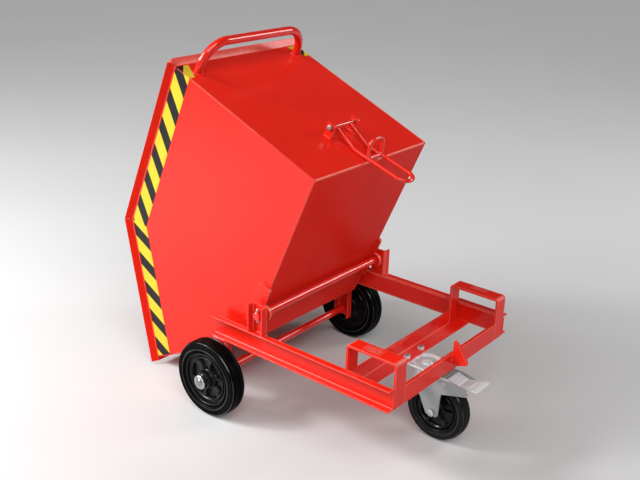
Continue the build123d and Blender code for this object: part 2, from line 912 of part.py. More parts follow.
with BuildPart() as left_tape:
    with BuildSketch(on_tub(Plane.XZ.offset(tub_half_width))):
        with BuildLine():
            Polyline(*tape_top, *reversed(tape_foot), close=True)
        make_face()
        with BuildLine():
            Polyline(
                (tape_wall, 0), (tape_wall, tub_height), (-rim_level, tub_height),
                (-lip_reach, lip_height), (-tub_floor, 0), close=True,
            )
        make_face(mode=Mode.INTERSECT)
    extrude(amount=tape_wall)
    with BuildSketch(on_tub(Plane.YZ)):
        with BuildLine():
            Polyline(
                (-tub_half_width, tape_low), (-tub_half_width, tape_high),
                (-tub_half_width + tape_wrap, tape_high),
                (-tub_half_width + tape_wrap - tape_slant, tape_low), close=True,
            )
        make_face()
    extrude(amount=tape_wall)

with BuildPart() as right_tape:
    mirror(left_tape.part, about=Plane.XZ)

# Push handle: a bent tube on the back wall
handle_half = tub_half_width - handle_inset

with BuildPart() as handle:
    with BuildLine(on_tub(Plane.XY.offset(tub_height - handle_drop))) as handle_path:
        FilletPolyline(
            (0, -handle_half), (handle_out, -handle_half),
            (handle_out, handle_half), (0, handle_half), radius=handle_bend,
        )
    with BuildSketch(Plane(origin=handle_path.line @ 0, z_dir=handle_path.line % 0)):
        Circle(handle_dia / 2)
        Circle(handle_dia / 2 - handle_wall, mode=Mode.SUBTRACT)
    sweep()

# Latch: brackets and bolt on the back wall, and the rod loop with its grip ring
hinge_spot = (latch_hinge_out, latch_hinge_height)
bracket_in = latch_bracket_gap / 2
bracket_out = bracket_in + latch_bracket_wall
latch_bolt_radius = latch_bolt_dia / 2
knee_out = latch_rod / 2 + latch_knee_gap
rod_y = latch_span / 2
sleeve_bore = latch_bolt_radius + running_fit
loop_lean = (latch_tip_out - knee_out) / (latch_knee_height - latch_tip_height)
grip_foot = knee_out + loop_lean * (latch_knee_height - grip_height)
grip_tilt = radians(grip_lean)
grip_plane = on_tub(
    Plane(
        origin=(grip_foot, 0, grip_height),
        x_dir=(cos(grip_tilt), 0, sin(grip_tilt)),
        z_dir=(-sin(grip_tilt), 0, cos(grip_tilt)),
    )
)
sleeve_half = rod_y + latch_rod / 2 + latch_sleeve_past
bracket_end = latch_hinge_out + latch_bracket_past
bracket_low = latch_hinge_height - latch_bracket_depth / 2
bracket_high = latch_hinge_height + latch_bracket_depth / 2

with BuildPart() as latch_brackets:
    with BuildSketch(on_tub(Plane.XZ.offset(bracket_in))):
        with BuildLine():
            FilletPolyline(
                (0, bracket_low), (bracket_end, bracket_low), (bracket_end, bracket_high),
                (0, bracket_high),
                radius=(0, latch_bracket_round, latch_bracket_round, 0), close=True,
            )
        make_face()
        with Locations(hinge_spot):
            Circle(latch_bolt_radius + running_fit, mode=Mode.SUBTRACT)
    extrude(amount=latch_bracket_wall)
    mirror(about=Plane.XZ)

with BuildPart() as latch_bolt:
    extrude(
        hexagon(on_tub(across(*hinge_spot, -bracket_out)), latch_bolt_hex, 0), amount=latch_bolt_head
    )
    with BuildSketch(on_tub(across(*hinge_spot, -bracket_out))):
        Circle(latch_bolt_radius)
    extrude(amount=-2 * bracket_out - latch_nut_high - latch_bolt_end)

with BuildPart() as latch_nut:
    extrude(
        hexagon(
            on_tub(across(*hinge_spot, bracket_out)), latch_bolt_hex,
            latch_bolt_radius + running_fit,
        ),
        amount=-latch_nut_high,
    )

with BuildPart() as latch_loop:
    with BuildLine(tub_frame) as loop_path:
        FilletPolyline(
            (latch_hinge_out, -rod_y, latch_hinge_height), (knee_out, -rod_y, latch_knee_height),
            (latch_tip_out, -rod_y, latch_tip_height), (latch_tip_out, rod_y, latch_tip_height),
            (knee_out, rod_y, latch_knee_height), (latch_hinge_out, rod_y, latch_hinge_height),
            radius=(latch_knee_bend, latch_bend, latch_bend, latch_knee_bend),
        )
    with BuildSketch(Plane(origin=loop_path.line @ 0, z_dir=loop_path.line % 0)):
        Circle(latch_rod / 2)
    sweep()
    with BuildLine(grip_plane) as grip_path:
        FilletPolyline(
            (0, -rod_y), (grip_out, -rod_y), (grip_out, rod_y), (0, rod_y),
            radius=(grip_foot_bend, grip_bend, grip_bend, grip_foot_bend), close=True,
        )
    with BuildSketch(Plane(origin=grip_path.line @ 0, z_dir=grip_path.line % 0)):
        Circle(grip_rod / 2)
    sweep()
    with BuildSketch(on_tub(across(*hinge_spot, sleeve_half))):
        Circle(sleeve_bore + latch_sleeve_wall)
    extrude(amount=2 * sleeve_half)
    with BuildSketch(on_tub(across(*hinge_spot, sleeve_half))):
        Circle(sleeve_bore)
    extrude(amount=2 * sleeve_half, mode=Mode.SUBTRACT)

pieces = {
    "left_rail": left_rail,
    "right_rail": right_rail,
    "left_post": left_post,
    "right_post": right_post,
    "left_hanger": left_hanger,
    "right_hanger": right_hanger,
    "left_rest": left_rest,
    "right_rest": right_rest,
    "front_angle": front_angle,
    "rear_angle": rear_angle,
    "cross_bar": cross_bar,
    "catch_hook": catch_hook,
    "pivot_axle": pivot_axle,
    "pivot_spacers": pivot_spacers,
    "pivot_washers": pivot_washers,
    "split_pins": split_pins,
    "wheel_axle": wheel_axle,
    "axle_spacers": axle_spacers,
    "set_collars": set_collars,
    "collar_screws": collar_screws,
    "left_tyre": left_tyre,
    "left_rim": left_rim,
    "left_bush": left_bush,
    "right_tyre": right_tyre,
    "right_rim": right_rim,
    "right_bush": right_bush,
    "castor_plate": castor_plate,
    "castor_bolts": castor_bolts,
    "castor_nuts": castor_nuts,
    "castor_race": castor_race,
    "king_pin": king_pin,
    "castor_fork": castor_fork,
    "castor_axle_bolt": castor_axle_bolt,
    "castor_axle_nut": castor_axle_nut,
    "castor_tyre": castor_tyre,
    "castor_rim": castor_rim,
    "castor_bush": castor_bush,
    "brake_pedal": brake_pedal,
    "pedal_pin": pedal_pin,
    "tub_wrap": tub_wrap,
    "left_panel": left_panel,
    "right_panel": right_panel,
    "left_ear": left_ear,
    "right_ear": right_ear,
    "left_tape": left_tape,
    "right_tape": right_tape,
    "handle": handle,
    "latch_brackets": latch_brackets,
    "latch_bolt": latch_bolt,
    "latch_nut": latch_nut,
    "latch_loop": latch_loop,
}
for name, piece in pieces.items():
    piece.part.label = name
    export_step(piece.part, f"parts/{name}.step")
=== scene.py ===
"""Looks of a tipping box trolley: red enamel, striped tape, moulded wheels, zinc castor and welds.

Run as a script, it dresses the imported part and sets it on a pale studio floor. Sizes are in
metres in the part's own frame. Names that end in _mm or _MM are in millimetres, and so are
profiles, the sizes of bolts and rims, and the points given to mm and on_tub.
"""

import json
from collections import namedtuple
from math import atan2, cos, hypot, pi, radians, sin

import bmesh
import bpy
from bpy.props import FloatProperty, FloatVectorProperty, IntProperty, PointerProperty
from mathutils import Matrix, Vector

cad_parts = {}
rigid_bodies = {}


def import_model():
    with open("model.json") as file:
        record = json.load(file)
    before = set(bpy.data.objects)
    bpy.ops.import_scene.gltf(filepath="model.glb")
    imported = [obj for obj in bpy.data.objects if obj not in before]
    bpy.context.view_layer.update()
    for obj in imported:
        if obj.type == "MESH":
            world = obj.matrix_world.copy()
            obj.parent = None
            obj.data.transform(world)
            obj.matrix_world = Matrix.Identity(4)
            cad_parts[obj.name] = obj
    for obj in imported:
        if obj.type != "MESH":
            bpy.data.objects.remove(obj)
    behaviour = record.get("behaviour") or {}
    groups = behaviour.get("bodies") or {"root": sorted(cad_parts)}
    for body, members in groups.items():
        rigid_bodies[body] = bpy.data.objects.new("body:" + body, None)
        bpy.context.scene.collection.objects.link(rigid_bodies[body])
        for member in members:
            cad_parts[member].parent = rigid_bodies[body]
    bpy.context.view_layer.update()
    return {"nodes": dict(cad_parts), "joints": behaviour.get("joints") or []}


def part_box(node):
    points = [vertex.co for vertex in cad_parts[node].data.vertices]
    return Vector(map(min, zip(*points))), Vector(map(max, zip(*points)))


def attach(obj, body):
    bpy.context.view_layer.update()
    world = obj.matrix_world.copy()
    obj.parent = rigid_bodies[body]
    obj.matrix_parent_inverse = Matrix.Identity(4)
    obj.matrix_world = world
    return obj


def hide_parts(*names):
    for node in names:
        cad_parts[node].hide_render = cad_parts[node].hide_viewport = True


bl_info = {
    "name": "Box Trolley Looks",
    "version": (1, 0, 0),
    "blender": (4, 5, 0),
    "location": "View3D > Sidebar > Trolley",
    "description": "Finishes, wheels, castor, welds and studio for a tipping box trolley",
    "category": "Object",
}

for leftover in list(bpy.data.objects):
    bpy.data.objects.remove(leftover)
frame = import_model()
joints = {joint["name"]: joint for joint in frame["joints"]}

MM = 0.001
SAME = 1e-6  # points closer than this are one point

# The tub's own frame, carried by its tipping joint: X to the back, Z up, from its floor's back edge
PIVOT_AHEAD_MM = 388.0
PIVOT_DROP_MM = 13.3
TIP = radians(joints["tub_tip"]["range_deg"][1])
TUB = (
    Matrix.Translation(joints["tub_tip"]["pos_m"])
    @ Matrix.Rotation(-TIP, 4, "Y")
    @ Matrix.Translation((PIVOT_AHEAD_MM * MM, 0, PIVOT_DROP_MM * MM))
)

# In that frame: outside of the side walls, and the kink and the far end of their upper edge
WALL_MM = 219.0
KINK_MM = Vector((-473.0, 472.0))
LIP_MM = Vector((-793.0, 248.0))
HALF_KINK = radians(17.5)


def mm(x, y, z):
    """A point of the part's frame given in millimetres."""
    return Vector((x, y, z)) * MM


def on_tub(x, y, z):
    """A point of the part's frame from millimetres in the tub's own frame."""
    return TUB @ mm(x, y, z)


def about(axis, degrees):
    """A turn about an axis."""
    return Matrix.Rotation(radians(degrees), 4, axis)


def cross_axle(centre):
    """Turning place of a wheel: local Z along the axle, angles clockwise from straight up."""
    return Matrix.Translation(centre) @ Matrix(
        ((0, 1, 0, 0), (0, 0, 1, 0), (1, 0, 0, 0), (0, 0, 0, 1))
    )


def middle(node):
    """Middle of a node's box."""
    low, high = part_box(node)
    return (low + high) / 2


def box_mm(node):
    """Corners of a node's box, in millimetres."""
    low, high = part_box(node)
    return low / MM, high / MM


def half_mm(node):
    """Half the size of a node's box along each axis, in millimetres."""
    low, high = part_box(node)
    return (high - low) / 2 / MM


def tub_box(node):
    """Corners of a node's box along the tub's own axes, in millimetres."""
    home = TUB.inverted()
    points = [home @ vertex.co / MM for vertex in frame["nodes"][node].data.vertices]
    low = Vector(min(point[axis] for point in points) for axis in range(3))
    high = Vector(max(point[axis] for point in points) for axis in range(3))
    return low, high


# What settings of one kind have in common
COLOUR = {"subtype": "COLOR", "size": 3, "min": 0, "max": 1}
LENGTH = {"subtype": "DISTANCE", "unit": "LENGTH"}
POWER = {"subtype": "POWER", "unit": "POWER", "min": 0}


class EnamelSettings(bpy.types.PropertyGroup):
    """Gloss paint of the tub and the frame"""

    red: FloatVectorProperty(
        name="Red", description="Main colour of the paint", default=(0.74, 0.017, 0.007), **COLOUR
    )
    deep_red: FloatVectorProperty(
        name="Deep red", description="Colour where the paint film lies thicker",
        default=(0.69, 0.013, 0.005), **COLOUR,
    )
    # Pale red is worn paint on scuffs and thin edges, and also a painted highlight along edges and
    # folds and a painted reflection on the back of the rim.
    pale_red_and_highlight: FloatVectorProperty(
        name="Pale red", description="Colour of scuffs and of thin paint on edges",
        default=(0.84, 0.20, 0.15), **COLOUR,
    )
    gloss: FloatProperty(
        name="Roughness", description="Base roughness of the paint", subtype="FACTOR",
        min=0, max=1, default=0.24,
    )
    edge: FloatProperty(
        name="Edge rounding", description="Radius that the paint gives to a cut sheet edge",
        min=0, default=0.0008, **LENGTH,
    )


class TapeSettings(bpy.types.PropertyGroup):
    """Striped hazard tape under the rim"""

    yellow: FloatVectorProperty(
        name="Yellow", description="Light stripe", default=(0.63, 0.52, 0.029), **COLOUR
    )
    black: FloatVectorProperty(
        name="Black", description="Dark stripe", default=(0.007, 0.006, 0.007), **COLOUR
    )
    pitch: FloatProperty(
        name="Stripe pitch", description="Distance between stripes along the tape",
        min=0.01, default=0.0814, **LENGTH,
    )
    black_share: FloatProperty(
        name="Black share", description="Share of the pitch that is black", subtype="FACTOR",
        min=0.1, max=0.9, default=0.455,
    )
    slant: FloatProperty(
        name="Slant", description="How far a stripe runs forward for each unit across the tape",
        min=0, max=3, default=0.88,
    )
    first: FloatProperty(
        name="First stripe", description="Where the middle of a black stripe meets the rim",
        default=0.0760, **LENGTH,
    )


class WheelSettings(bpy.types.PropertyGroup):
    """Moulded rims and solid tyres"""

    spokes: IntProperty(
        name="Spokes", description="Number of spokes in a rim", min=3, max=12, default=6
    )
    spoke_lead: FloatProperty(
        name="Spoke lead", description="Angle of the first fixed wheel spoke from straight up",
        subtype="ANGLE", unit="ROTATION", default=radians(12),
    )
    draft: FloatProperty(
        name="Pocket draft", description="How far a pocket's wall leans from lip to floor",
        min=0, default=0.0022, **LENGTH,
    )


class WeldSettings(bpy.types.PropertyGroup):
    """Painted weld beads"""

    size: FloatProperty(
        name="Bead size", description="Half width of a weld bead", min=0.0005, default=0.0026,
        **LENGTH,
    )
    ripple: FloatProperty(
        name="Ripple", description="Distance between the ripples of a bead", min=0.0005,
        default=0.0030, **LENGTH,
    )


class StageSettings(bpy.types.PropertyGroup):
    """Studio floor, lights and camera"""

    floor: FloatVectorProperty(
        name="Floor", description="Colour of the studio floor", default=(0.58, 0.58, 0.58), **COLOUR
    )
    key: FloatProperty(
        name="Key light", description="Strength of the broad light on the left", min=0, default=0.75
    )
    fill: FloatProperty(
        name="Fill light", description="Strength of the broad light on the right", min=0,
        default=1.85,
    )
    side: FloatProperty(
        name="Side light", description="Power of the low light on the far right", default=42.0,
        **POWER,
    )
    glint: FloatProperty(
        name="Glint light", description="Power of the small light on the upper left", default=75.0,
        **POWER,
    )
    front: FloatProperty(
        name="Front light", description="Power of the light on the floor at the front left",
        default=36.0, **POWER,
    )
    left: FloatProperty(
        name="Left light", description="Power of the small light on the left", default=24.0, **POWER
    )
    sky: FloatProperty(
        name="Surround", description="Strength of the white surround", min=0, default=0.08
    )
    lens: FloatProperty(
        name="Lens", description="Focal length on a 36 mm sensor", subtype="DISTANCE_CAMERA",
        unit="CAMERA", min=10, default=51.8,
    )


class Finish:
    """A node material in the making."""

    # Sockets of the mix node for colours: both inputs and the output
    FIRST, SECOND, MIXED = 6, 7, 2

    def __init__(self, name):
        self.material = bpy.data.materials.new(name)
        self.material.use_nodes = True
        self.tree = self.material.node_tree
        self.shader = self.tree.nodes["Principled BSDF"]
        coordinates = self.add("TexCoord", {})
        self.object = coordinates["Object"]
        self.uv = coordinates["UV"]

    def fill(self, node, inputs):
        """Link each input of a node where its value is a socket, or set it."""
        for name, value in inputs.items():
            if isinstance(value, bpy.types.NodeSocket):
                self.tree.links.new(value, node.inputs[name])
            else:
                node.inputs[name].default_value = value

    def add(self, kind, inputs, **settings):
        """The outputs of a new node with its inputs filled."""
        node = self.tree.nodes.new("ShaderNode" + kind)
        for name, value in settings.items():
            setattr(node, name, value)
        self.fill(node, inputs)
        return node.outputs

    def set(self, **values):
        """Sockets of the shader by their names with _ for a space."""
        self.fill(self.shader, {name.replace("_", " "): value for name, value in values.items()})

    def axes(self, source):
        """Coordinates taken apart into X, Y and Z."""
        return self.add("SeparateXYZ", {"Vector": source})

    def stretched(self, scale, turn=(0, 0, 0), source=None):
        """Coordinates scaled by axis, for patterns that run one way."""
        source = source or self.object
        return self.add("Mapping", {"Vector": source, "Scale": scale, "Rotation": turn})["Vector"]

    def noise(self, scale, detail=3.0, rough=0.5, source=None):
        """Soft noise, from 0 to 1."""
        source = source or self.object
        inputs = {"Vector": source, "Scale": scale, "Detail": detail, "Roughness": rough}
        return self.add("TexNoise", inputs)["Fac"]

    def cells(self, scale):
        """Distance to the nearest point of a scattered set."""
        return self.add("TexVoronoi", {"Vector": self.object, "Scale": scale})["Distance"]

    def remap(self, value, low, high, to_low=0.0, to_high=1.0):
        """A value carried from one range to another and held there."""
        inputs = {"From Min": low, "From Max": high, "To Min": to_low, "To Max": to_high}
        return self.add("MapRange", {"Value": value, **inputs}, clamp=True)["Result"]

    def spread(self, noise, to_low=0.0, to_high=1.0):
        """Noise carried from the range where most of it lies to another one."""
        return self.remap(noise, 0.3, 0.7, to_low, to_high)

    def sum(self, first, second, how="ADD"):
        """Two values added, or joined in another way."""
        return self.add("Math", {0: first, 1: second}, operation=how)["Value"]

    def times(self, first, second):
        """Two values multiplied."""
        return self.sum(first, second, "MULTIPLY")

    def blend(self, share, first, second):
        """One colour going over into another."""
        inputs = {0: share}
        for key, colour in ((self.FIRST, first), (self.SECOND, second)):
            linked = isinstance(colour, bpy.types.NodeSocket)
            inputs[key] = colour if linked else (*colour, 1.0)
        return self.add("Mix", inputs, data_type="RGBA")[self.MIXED]

    def marked(self, name):
        """A mesh attribute that a piece carries."""
        return self.add("Attribute", {}, attribute_name=name)["Fac"]

    def relief(self, *layers):
        """Bump from several heights, each with its depth in metres."""
        below = {}
        for height, depth in layers:
            bump = self.add("Bump", {"Height": height, "Distance": depth, **below})
            below = {"Normal": bump["Normal"]}
        self.fill(self.shader, below)


RUBBED_PAINT = (0.62, 0.16, 0.13)
GRIME = (0.07, 0.035, 0.03)
BARE_STEEL = (0.30, 0.30, 0.31)
POLISHED_EDGE_AND_HIGHLIGHT = (0.80, 0.83, 0.84)
RUBBER_DUST = (0.016, 0.016, 0.017)
DEEP_PLASTIC, PLASTIC = (0.003, 0.003, 0.0033), (0.006, 0.006, 0.0066)
DEEP_YELLOW, GREY_INK, TAPE_SCRATCH = (0.59, 0.47, 0.024), (0.014, 0.012, 0.013), (0.55, 0.50, 0.42)

# Tone, roughness, stretch of the grain and share of metal of each kind of plating
Plating = namedtuple("Plating", "tone rough grain metal", defaults=((1.0, 1.0, 5.0), 1.0))
PLATINGS = {
    "bright_zinc": Plating(0.62, 0.30),
    "dark_zinc": Plating(0.30, 0.35),
    "collar_zinc": Plating(0.44, 0.22),
    "polished_zinc": Plating(0.66, 0.16),
    "bush_steel": Plating(0.45, 0.28),
    "latch_zinc": Plating(0.40, 0.40, metal=0.9),
    "pressed_zinc": Plating(0.76, 0.22, metal=0.4),
    "satin_zinc_sheet": Plating(0.33, 0.42, (3.0, 3.0, 0.5), 0.20),
    "pin_zinc": Plating(0.42, 0.34, (3.0, 3.0, 0.5), 0.5),
    "bright_zinc_sheet": Plating(0.58, 0.26, (1.0, 4.0, 1.0), 0.35),
    "pedal_zinc": Plating(0.62, 0.40, (1.0, 4.0, 1.0), 0.10),
}


def enamel(name="gloss_red_enamel", rubbed=(), bare_past=0, shine=0.0, dull=False):
    """Gloss red paint with orange peel, faint sheet waves, scuffs, worn places and bare ends; faces
    marked edge are painted paler, as thin paint and as a painted highlight.
    """
    if name in bpy.data.materials:
        return bpy.data.materials[name]
    look = bpy.context.scene.trolley_enamel
    finish = Finish(name)
    streak = finish.noise(50.0, 5.0, 0.6, finish.stretched((1.0, 5.0, 0.6), (0, 0.6, 0.3)))
    patch = finish.remap(finish.noise(7.0, 3.0), 0.60, 0.74)
    scuff = finish.times(finish.remap(streak, 0.62, 0.74, 0.0, 0.06), patch)
    edge_paleness = finish.remap(finish.noise(70.0), 0.35, 0.75, 0.38, 0.62)
    # Edge faces turn pale: partly thin paint, partly a painted highlight on edges and folds and a
    # painted reflection on the back of the rim.
    worn = finish.sum(scuff, finish.times(finish.marked("edge"), edge_paleness), "MAXIMUM")
    cloud = finish.noise(4.0, 4.0, 0.55)
    colour = finish.blend(finish.spread(cloud), look.deep_red, look.red)
    colour = finish.blend(worn, colour, look.pale_red_and_highlight)
    gloss = look.gloss + (0.10 if dull else -0.3 * shine)
    rough = finish.sum(
        finish.spread(finish.noise(22.0, 4.0), gloss - 0.02, gloss + 0.03),
        finish.times(scuff, 0.35),
    )
    layers = [(finish.noise(4.5, 2.0), 0.0006), (finish.noise(420.0, 2.0), 0.00002)]
    for low, high in rubbed:
        place = rubbed_place(finish, low, high)
        grit = finish.noise(260.0, 4.0, 0.7, finish.stretched((0.35, 1.4, 1.0)))
        bare = finish.times(place, finish.remap(grit, 0.46, 0.60))
        dark = finish.times(place, finish.remap(grit, 0.63, 0.68))
        colour = finish.blend(bare, colour, RUBBED_PAINT)
        colour = finish.blend(dark, colour, GRIME)
        rough = finish.sum(rough, finish.times(place, 0.3))
        layers.append((finish.times(place, grit), 0.0012))
    if bare_past:
        steel = bare_ends(finish, bare_past)
        lathe = finish.noise(300.0, 3.0, 0.6, finish.stretched((0.3, 3.0, 0.3)))
        colour = finish.blend(steel, colour, BARE_STEEL)
        rough = finish.sum(rough, finish.times(steel, finish.spread(lathe, -0.02, 0.12)))
        finish.set(Metallic=steel)
    finish.set(
        Base_Color=colour, Roughness=rough, Coat_Roughness=0.06,
        Specular_IOR_Level=0.05 if dull else 0.25 + 0.4 * shine,
        Coat_Weight=0.0 if dull else 0.08 + shine,
    )
    finish.relief(*layers)
    return finish.material


def bar_enamel():
    """The same paint on drawn bar, tube and weld, where it dries smoother."""
    return enamel("smooth_red_enamel", shine=0.4)


def bare_ends(finish, past_mm):
    """Where a bar lies further out across the trolley than its painted length."""
    out = finish.sum(finish.axes(finish.object)["Y"], 0.0, "ABSOLUTE")
    return finish.remap(out, (past_mm - 0.4) * MM, (past_mm + 0.4) * MM)


def rubbed_place(finish, low_mm, high_mm):
    """A soft box between two corners where the paint is rubbed."""
    inside = 1.0
    for value, low, high in zip(finish.axes(finish.object), low_mm, high_mm):
        soft = 0.15 * (high - low) * MM
        rise = finish.remap(value, low * MM, low * MM + soft)
        fall = finish.remap(value, high * MM - soft, high * MM, 1.0, 0.0)
        inside = finish.times(finish.times(rise, fall), inside)
    return inside


def zinc(name="bright_zinc"):
    """Zinc plate with rolled streaks, faint spangle, dull marks and near white marked faces: worn
    edges, and a painted reflection on the castor plate's dish; a satin one is less metal.
    """
    if name in bpy.data.materials:
        return bpy.data.materials[name]
    tone, rough, grain, metal = PLATINGS[name]
    finish = Finish(name)
    streak = finish.noise(140.0, 5.0, 0.6, finish.stretched(grain))
    cloud = finish.noise(35.0, 4.0, 0.6)
    pale = (tone * 1.02, tone * 1.09, tone * 1.11)
    dull = (tone * 0.84, tone * 0.90, tone * 0.92)
    warm = (tone * 0.92, tone * 0.91, tone * 0.86)
    colour = finish.blend(finish.spread(streak), dull, pale)
    colour = finish.blend(finish.remap(cloud, 0.58, 0.78, 0.0, 0.5), colour, warm)
    # Marked faces are painted near white: worn edges, and the painted reflection rings of the
    # castor plate's dish.
    colour = finish.blend(finish.times(finish.marked("edge"), 0.8), colour, POLISHED_EDGE_AND_HIGHLIGHT)
    shine = finish.sum(
        finish.spread(cloud, rough - 0.03, rough + 0.06),
        finish.remap(finish.cells(160.0), 0.0, 0.6, -0.02, 0.02),
    )
    finish.set(Base_Color=colour, Metallic=metal, Roughness=shine)
    finish.relief((streak, 0.000006), (cloud, 0.00002))
    return finish.material


def rubber(name="black_tyre_rubber", rubbed=False, grey=0.0):
    """Black rubber with mould bloom and grey dust; smoother where it is rubbed."""
    if name in bpy.data.materials:
        return bpy.data.materials[name]
    finish = Finish(name)
    bloom = finish.noise(30.0, 5.0, 0.6)
    dust = finish.noise(220.0, 4.0, 0.7)
    colour = finish.blend(
        finish.remap(bloom, 0.35, 0.75), [grey + 0.0015] * 3, [grey + 0.003] * 3
    )
    colour = finish.blend(finish.remap(dust, 0.62, 0.82, 0.0, 0.2), colour, RUBBER_DUST)
    smooth = 0.14 if rubbed else 0.30
    finish.set(
        Base_Color=colour, Roughness=finish.spread(bloom, smooth, smooth + 0.10),
        Specular_IOR_Level=0.6 if rubbed else 0.03,
    )
    finish.relief((dust, 0.00003), (finish.noise(900.0, 2.0), 0.00001))
    return finish.material


def plastic(name="moulded_black_plastic"):
    """Black moulded plastic with a fine grain and flow marks."""
    if name in bpy.data.materials:
        return bpy.data.materials[name]
    finish = Finish(name)
    flow = finish.noise(26.0, 4.0, 0.6, finish.stretched((1.0, 0.4, 1.0)))
    finish.set(
        Base_Color=finish.blend(finish.remap(flow, 0.35, 0.7), DEEP_PLASTIC, PLASTIC),
        Roughness=finish.spread(flow, 0.18, 0.28), Specular_IOR_Level=0.25,
    )
    finish.relief((finish.noise(1100.0, 2.0), 0.00003), (flow, 0.0002))
    return finish.material


def hazard_tape(name="striped_hazard_tape"):
    """Printed vinyl tape: slanting stripes along its length, fine scratches and soft bubbles."""
    if name in bpy.data.materials:
        return bpy.data.materials[name]
    look = bpy.context.scene.trolley_tape
    finish = Finish(name)
    along, across, _ = finish.axes(finish.uv)
    run = finish.sum(along, finish.times(across, look.slant), "SUBTRACT")
    turn = finish.sum(finish.sum(run, look.first, "SUBTRACT"), look.pitch, "DIVIDE")
    phase = finish.sum(finish.sum(turn, 0.5 + look.black_share / 2), 1.0, "FLOORED_MODULO")
    start, end = 0.5, 0.5 + look.black_share
    soft = 0.006
    rise = finish.remap(phase, start - soft, start + soft)
    fall = finish.remap(phase, end - soft, end + soft, 1.0, 0.0)
    tone = finish.noise(38.0, 4.0)
    scratch = finish.noise(90.0, 5.0, 0.7, finish.stretched((0.5, 7.0, 1.0), source=finish.uv))
    light = finish.blend(finish.spread(tone), look.yellow, DEEP_YELLOW)
    ink = finish.blend(finish.spread(tone), look.black, GREY_INK)
    colour = finish.blend(finish.times(rise, fall), light, ink)
    colour = finish.blend(finish.remap(scratch, 0.66, 0.74, 0.0, 0.18), colour, TAPE_SCRATCH)
    finish.set(
        Base_Color=colour, Roughness=finish.spread(tone, 0.32, 0.44), Specular_IOR_Level=0.22
    )
    finish.relief((finish.noise(55.0, 3.0), 0.00025), (scratch, 0.00004))
    return finish.material


def studio_floor(name="pale_studio_floor"):
    """Matt pale floor with a barely visible cloud."""
    look = bpy.context.scene.trolley_stage
    finish = Finish(name)
    cloud = finish.noise(1.5, 3.0)
    shade = [0.985 * value for value in look.floor]
    finish.set(
        Base_Color=finish.blend(finish.spread(cloud), shade, look.floor),
        Roughness=finish.spread(cloud, 0.82, 0.9),
    )
    finish.relief((finish.noise(300.0), 0.00005))
    return finish.material


def meshed(name, shape):
    """The mesh made from a shape, which is let go."""
    mesh = bpy.data.meshes.new(name)
    shape.to_mesh(mesh)
    shape.free()
    return mesh


def added(name, data):
    """A new object in the scene."""
    thing = bpy.data.objects.new(name, data)
    bpy.context.scene.collection.objects.link(thing)
    return thing


def finished(name, shape, finish, body, replaced=(), sharp=35):
    """The piece made from a shape: it rides on a body and hides the solids it replaces."""
    mesh = meshed(name, shape)
    mesh.materials.append(finish)
    mesh.shade_smooth()
    mesh.set_sharp_from_angle(angle=radians(sharp))
    piece = added(name, mesh)
    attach(piece, body)
    if replaced:
        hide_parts(*replaced)
    return piece


def dress(finish, *nodes):
    """Give solids that keep their own shape a finish."""
    for node in nodes:
        for place in frame["nodes"][node].material_slots:
            place.material = finish


def bevelled(shape, edges, size, steps=2):
    """Round some edges of a shape and give back the new faces."""
    return bmesh.ops.bevel(
        shape, geom=edges, offset=size, offset_type="OFFSET", segments=steps, profile=0.5,
        affect="EDGES", clamp_overlap=True, material=-1,
    )["faces"]


def rounded(shape, size, limit=30, steps=2):
    """Round the sharp edges of a shape; mark the new faces, and narrow ones, as edge, which the
    finishes paint paler as wear and as a painted highlight.
    """
    narrow_face_width = 2.2 * MM
    mark = shape.faces.layers.float.new("edge")
    # Narrow faces, such as cut sheet edges and the strips of folds, are marked too, so a pale
    # painted highlight runs along them.
    for face in shape.faces:
        face[mark] = float(face.calc_area() / max(e.calc_length() for e in face.edges) < narrow_face_width)
    sharp = [e for e in shape.edges if e.is_manifold and e.calc_face_angle() > radians(limit)]
    for face in bevelled(shape, sharp, size, steps):
        face[mark] = 1.0
    return shape


def merged(node):
    """A copy of a solid's triangles, joined up into its flat faces."""
    shape = bmesh.new()
    shape.from_mesh(frame["nodes"][node].data)
    bmesh.ops.remove_doubles(shape, verts=shape.verts[:], dist=SAME)
    bmesh.ops.dissolve_limit(
        shape, angle_limit=radians(0.5), verts=shape.verts[:], edges=shape.edges[:]
    )
    return shape


def softened(node, finish, body, slot, size):
    """A merged copy of a solid with its cut edges rounded, in the solid's place."""
    name = node + ("_painted" if slot == "red_paint" else "_plated")
    piece = finished(name, rounded(merged(node), size), finish, body, [node])
    piece.modifiers.new("flat_faces", "WEIGHTED_NORMAL").keep_sharp = True
    return piece


def joined(shape, part):
    """Take a part into a larger shape and let the part go."""
    mesh = meshed("part", part)
    shape.from_mesh(mesh)
    bpy.data.meshes.remove(mesh)
    return shape


def edges_in(geometry):
    """The edges among what an operator gives back."""
    return [item for item in geometry if isinstance(item, bmesh.types.BMEdge)]


def outline(shape, profile):
    """A closed ring of vertices and edges through (out, along) pairs."""
    ring = [shape.verts.new(mm(out, 0, along)) for out, along in profile]
    return ring + [shape.edges.new(pair) for pair in zip(ring, ring[1:] + ring[:1])]


def moved(shape, place):
    """A shape carried to its place."""
    bmesh.ops.transform(shape, matrix=place, verts=shape.verts[:])
    return shape


def outward(shape):
    """A closed shape with its faces pointing outwards."""
    bmesh.ops.recalc_face_normals(shape, faces=shape.faces[:])
    return shape


def turned(profile, place, steps):
    """A body turned about local Z from (out, along) pairs."""
    shape = bmesh.new()
    bmesh.ops.spin(
        shape, geom=outline(shape, profile), cent=(0, 0, 0), axis=(0, 0, 1), dvec=(0, 0, 0),
        angle=2 * pi, steps=steps, use_merge=True, use_normal_flip=False, use_duplicate=False,
    )
    bmesh.ops.remove_doubles(shape, verts=shape.verts[:], dist=SAME)
    return moved(outward(shape), place)


def mirrored(half):
    """A closed profile from one side's (out, along) pairs and their image."""
    return half + [(out, -along) for out, along in reversed(half)]


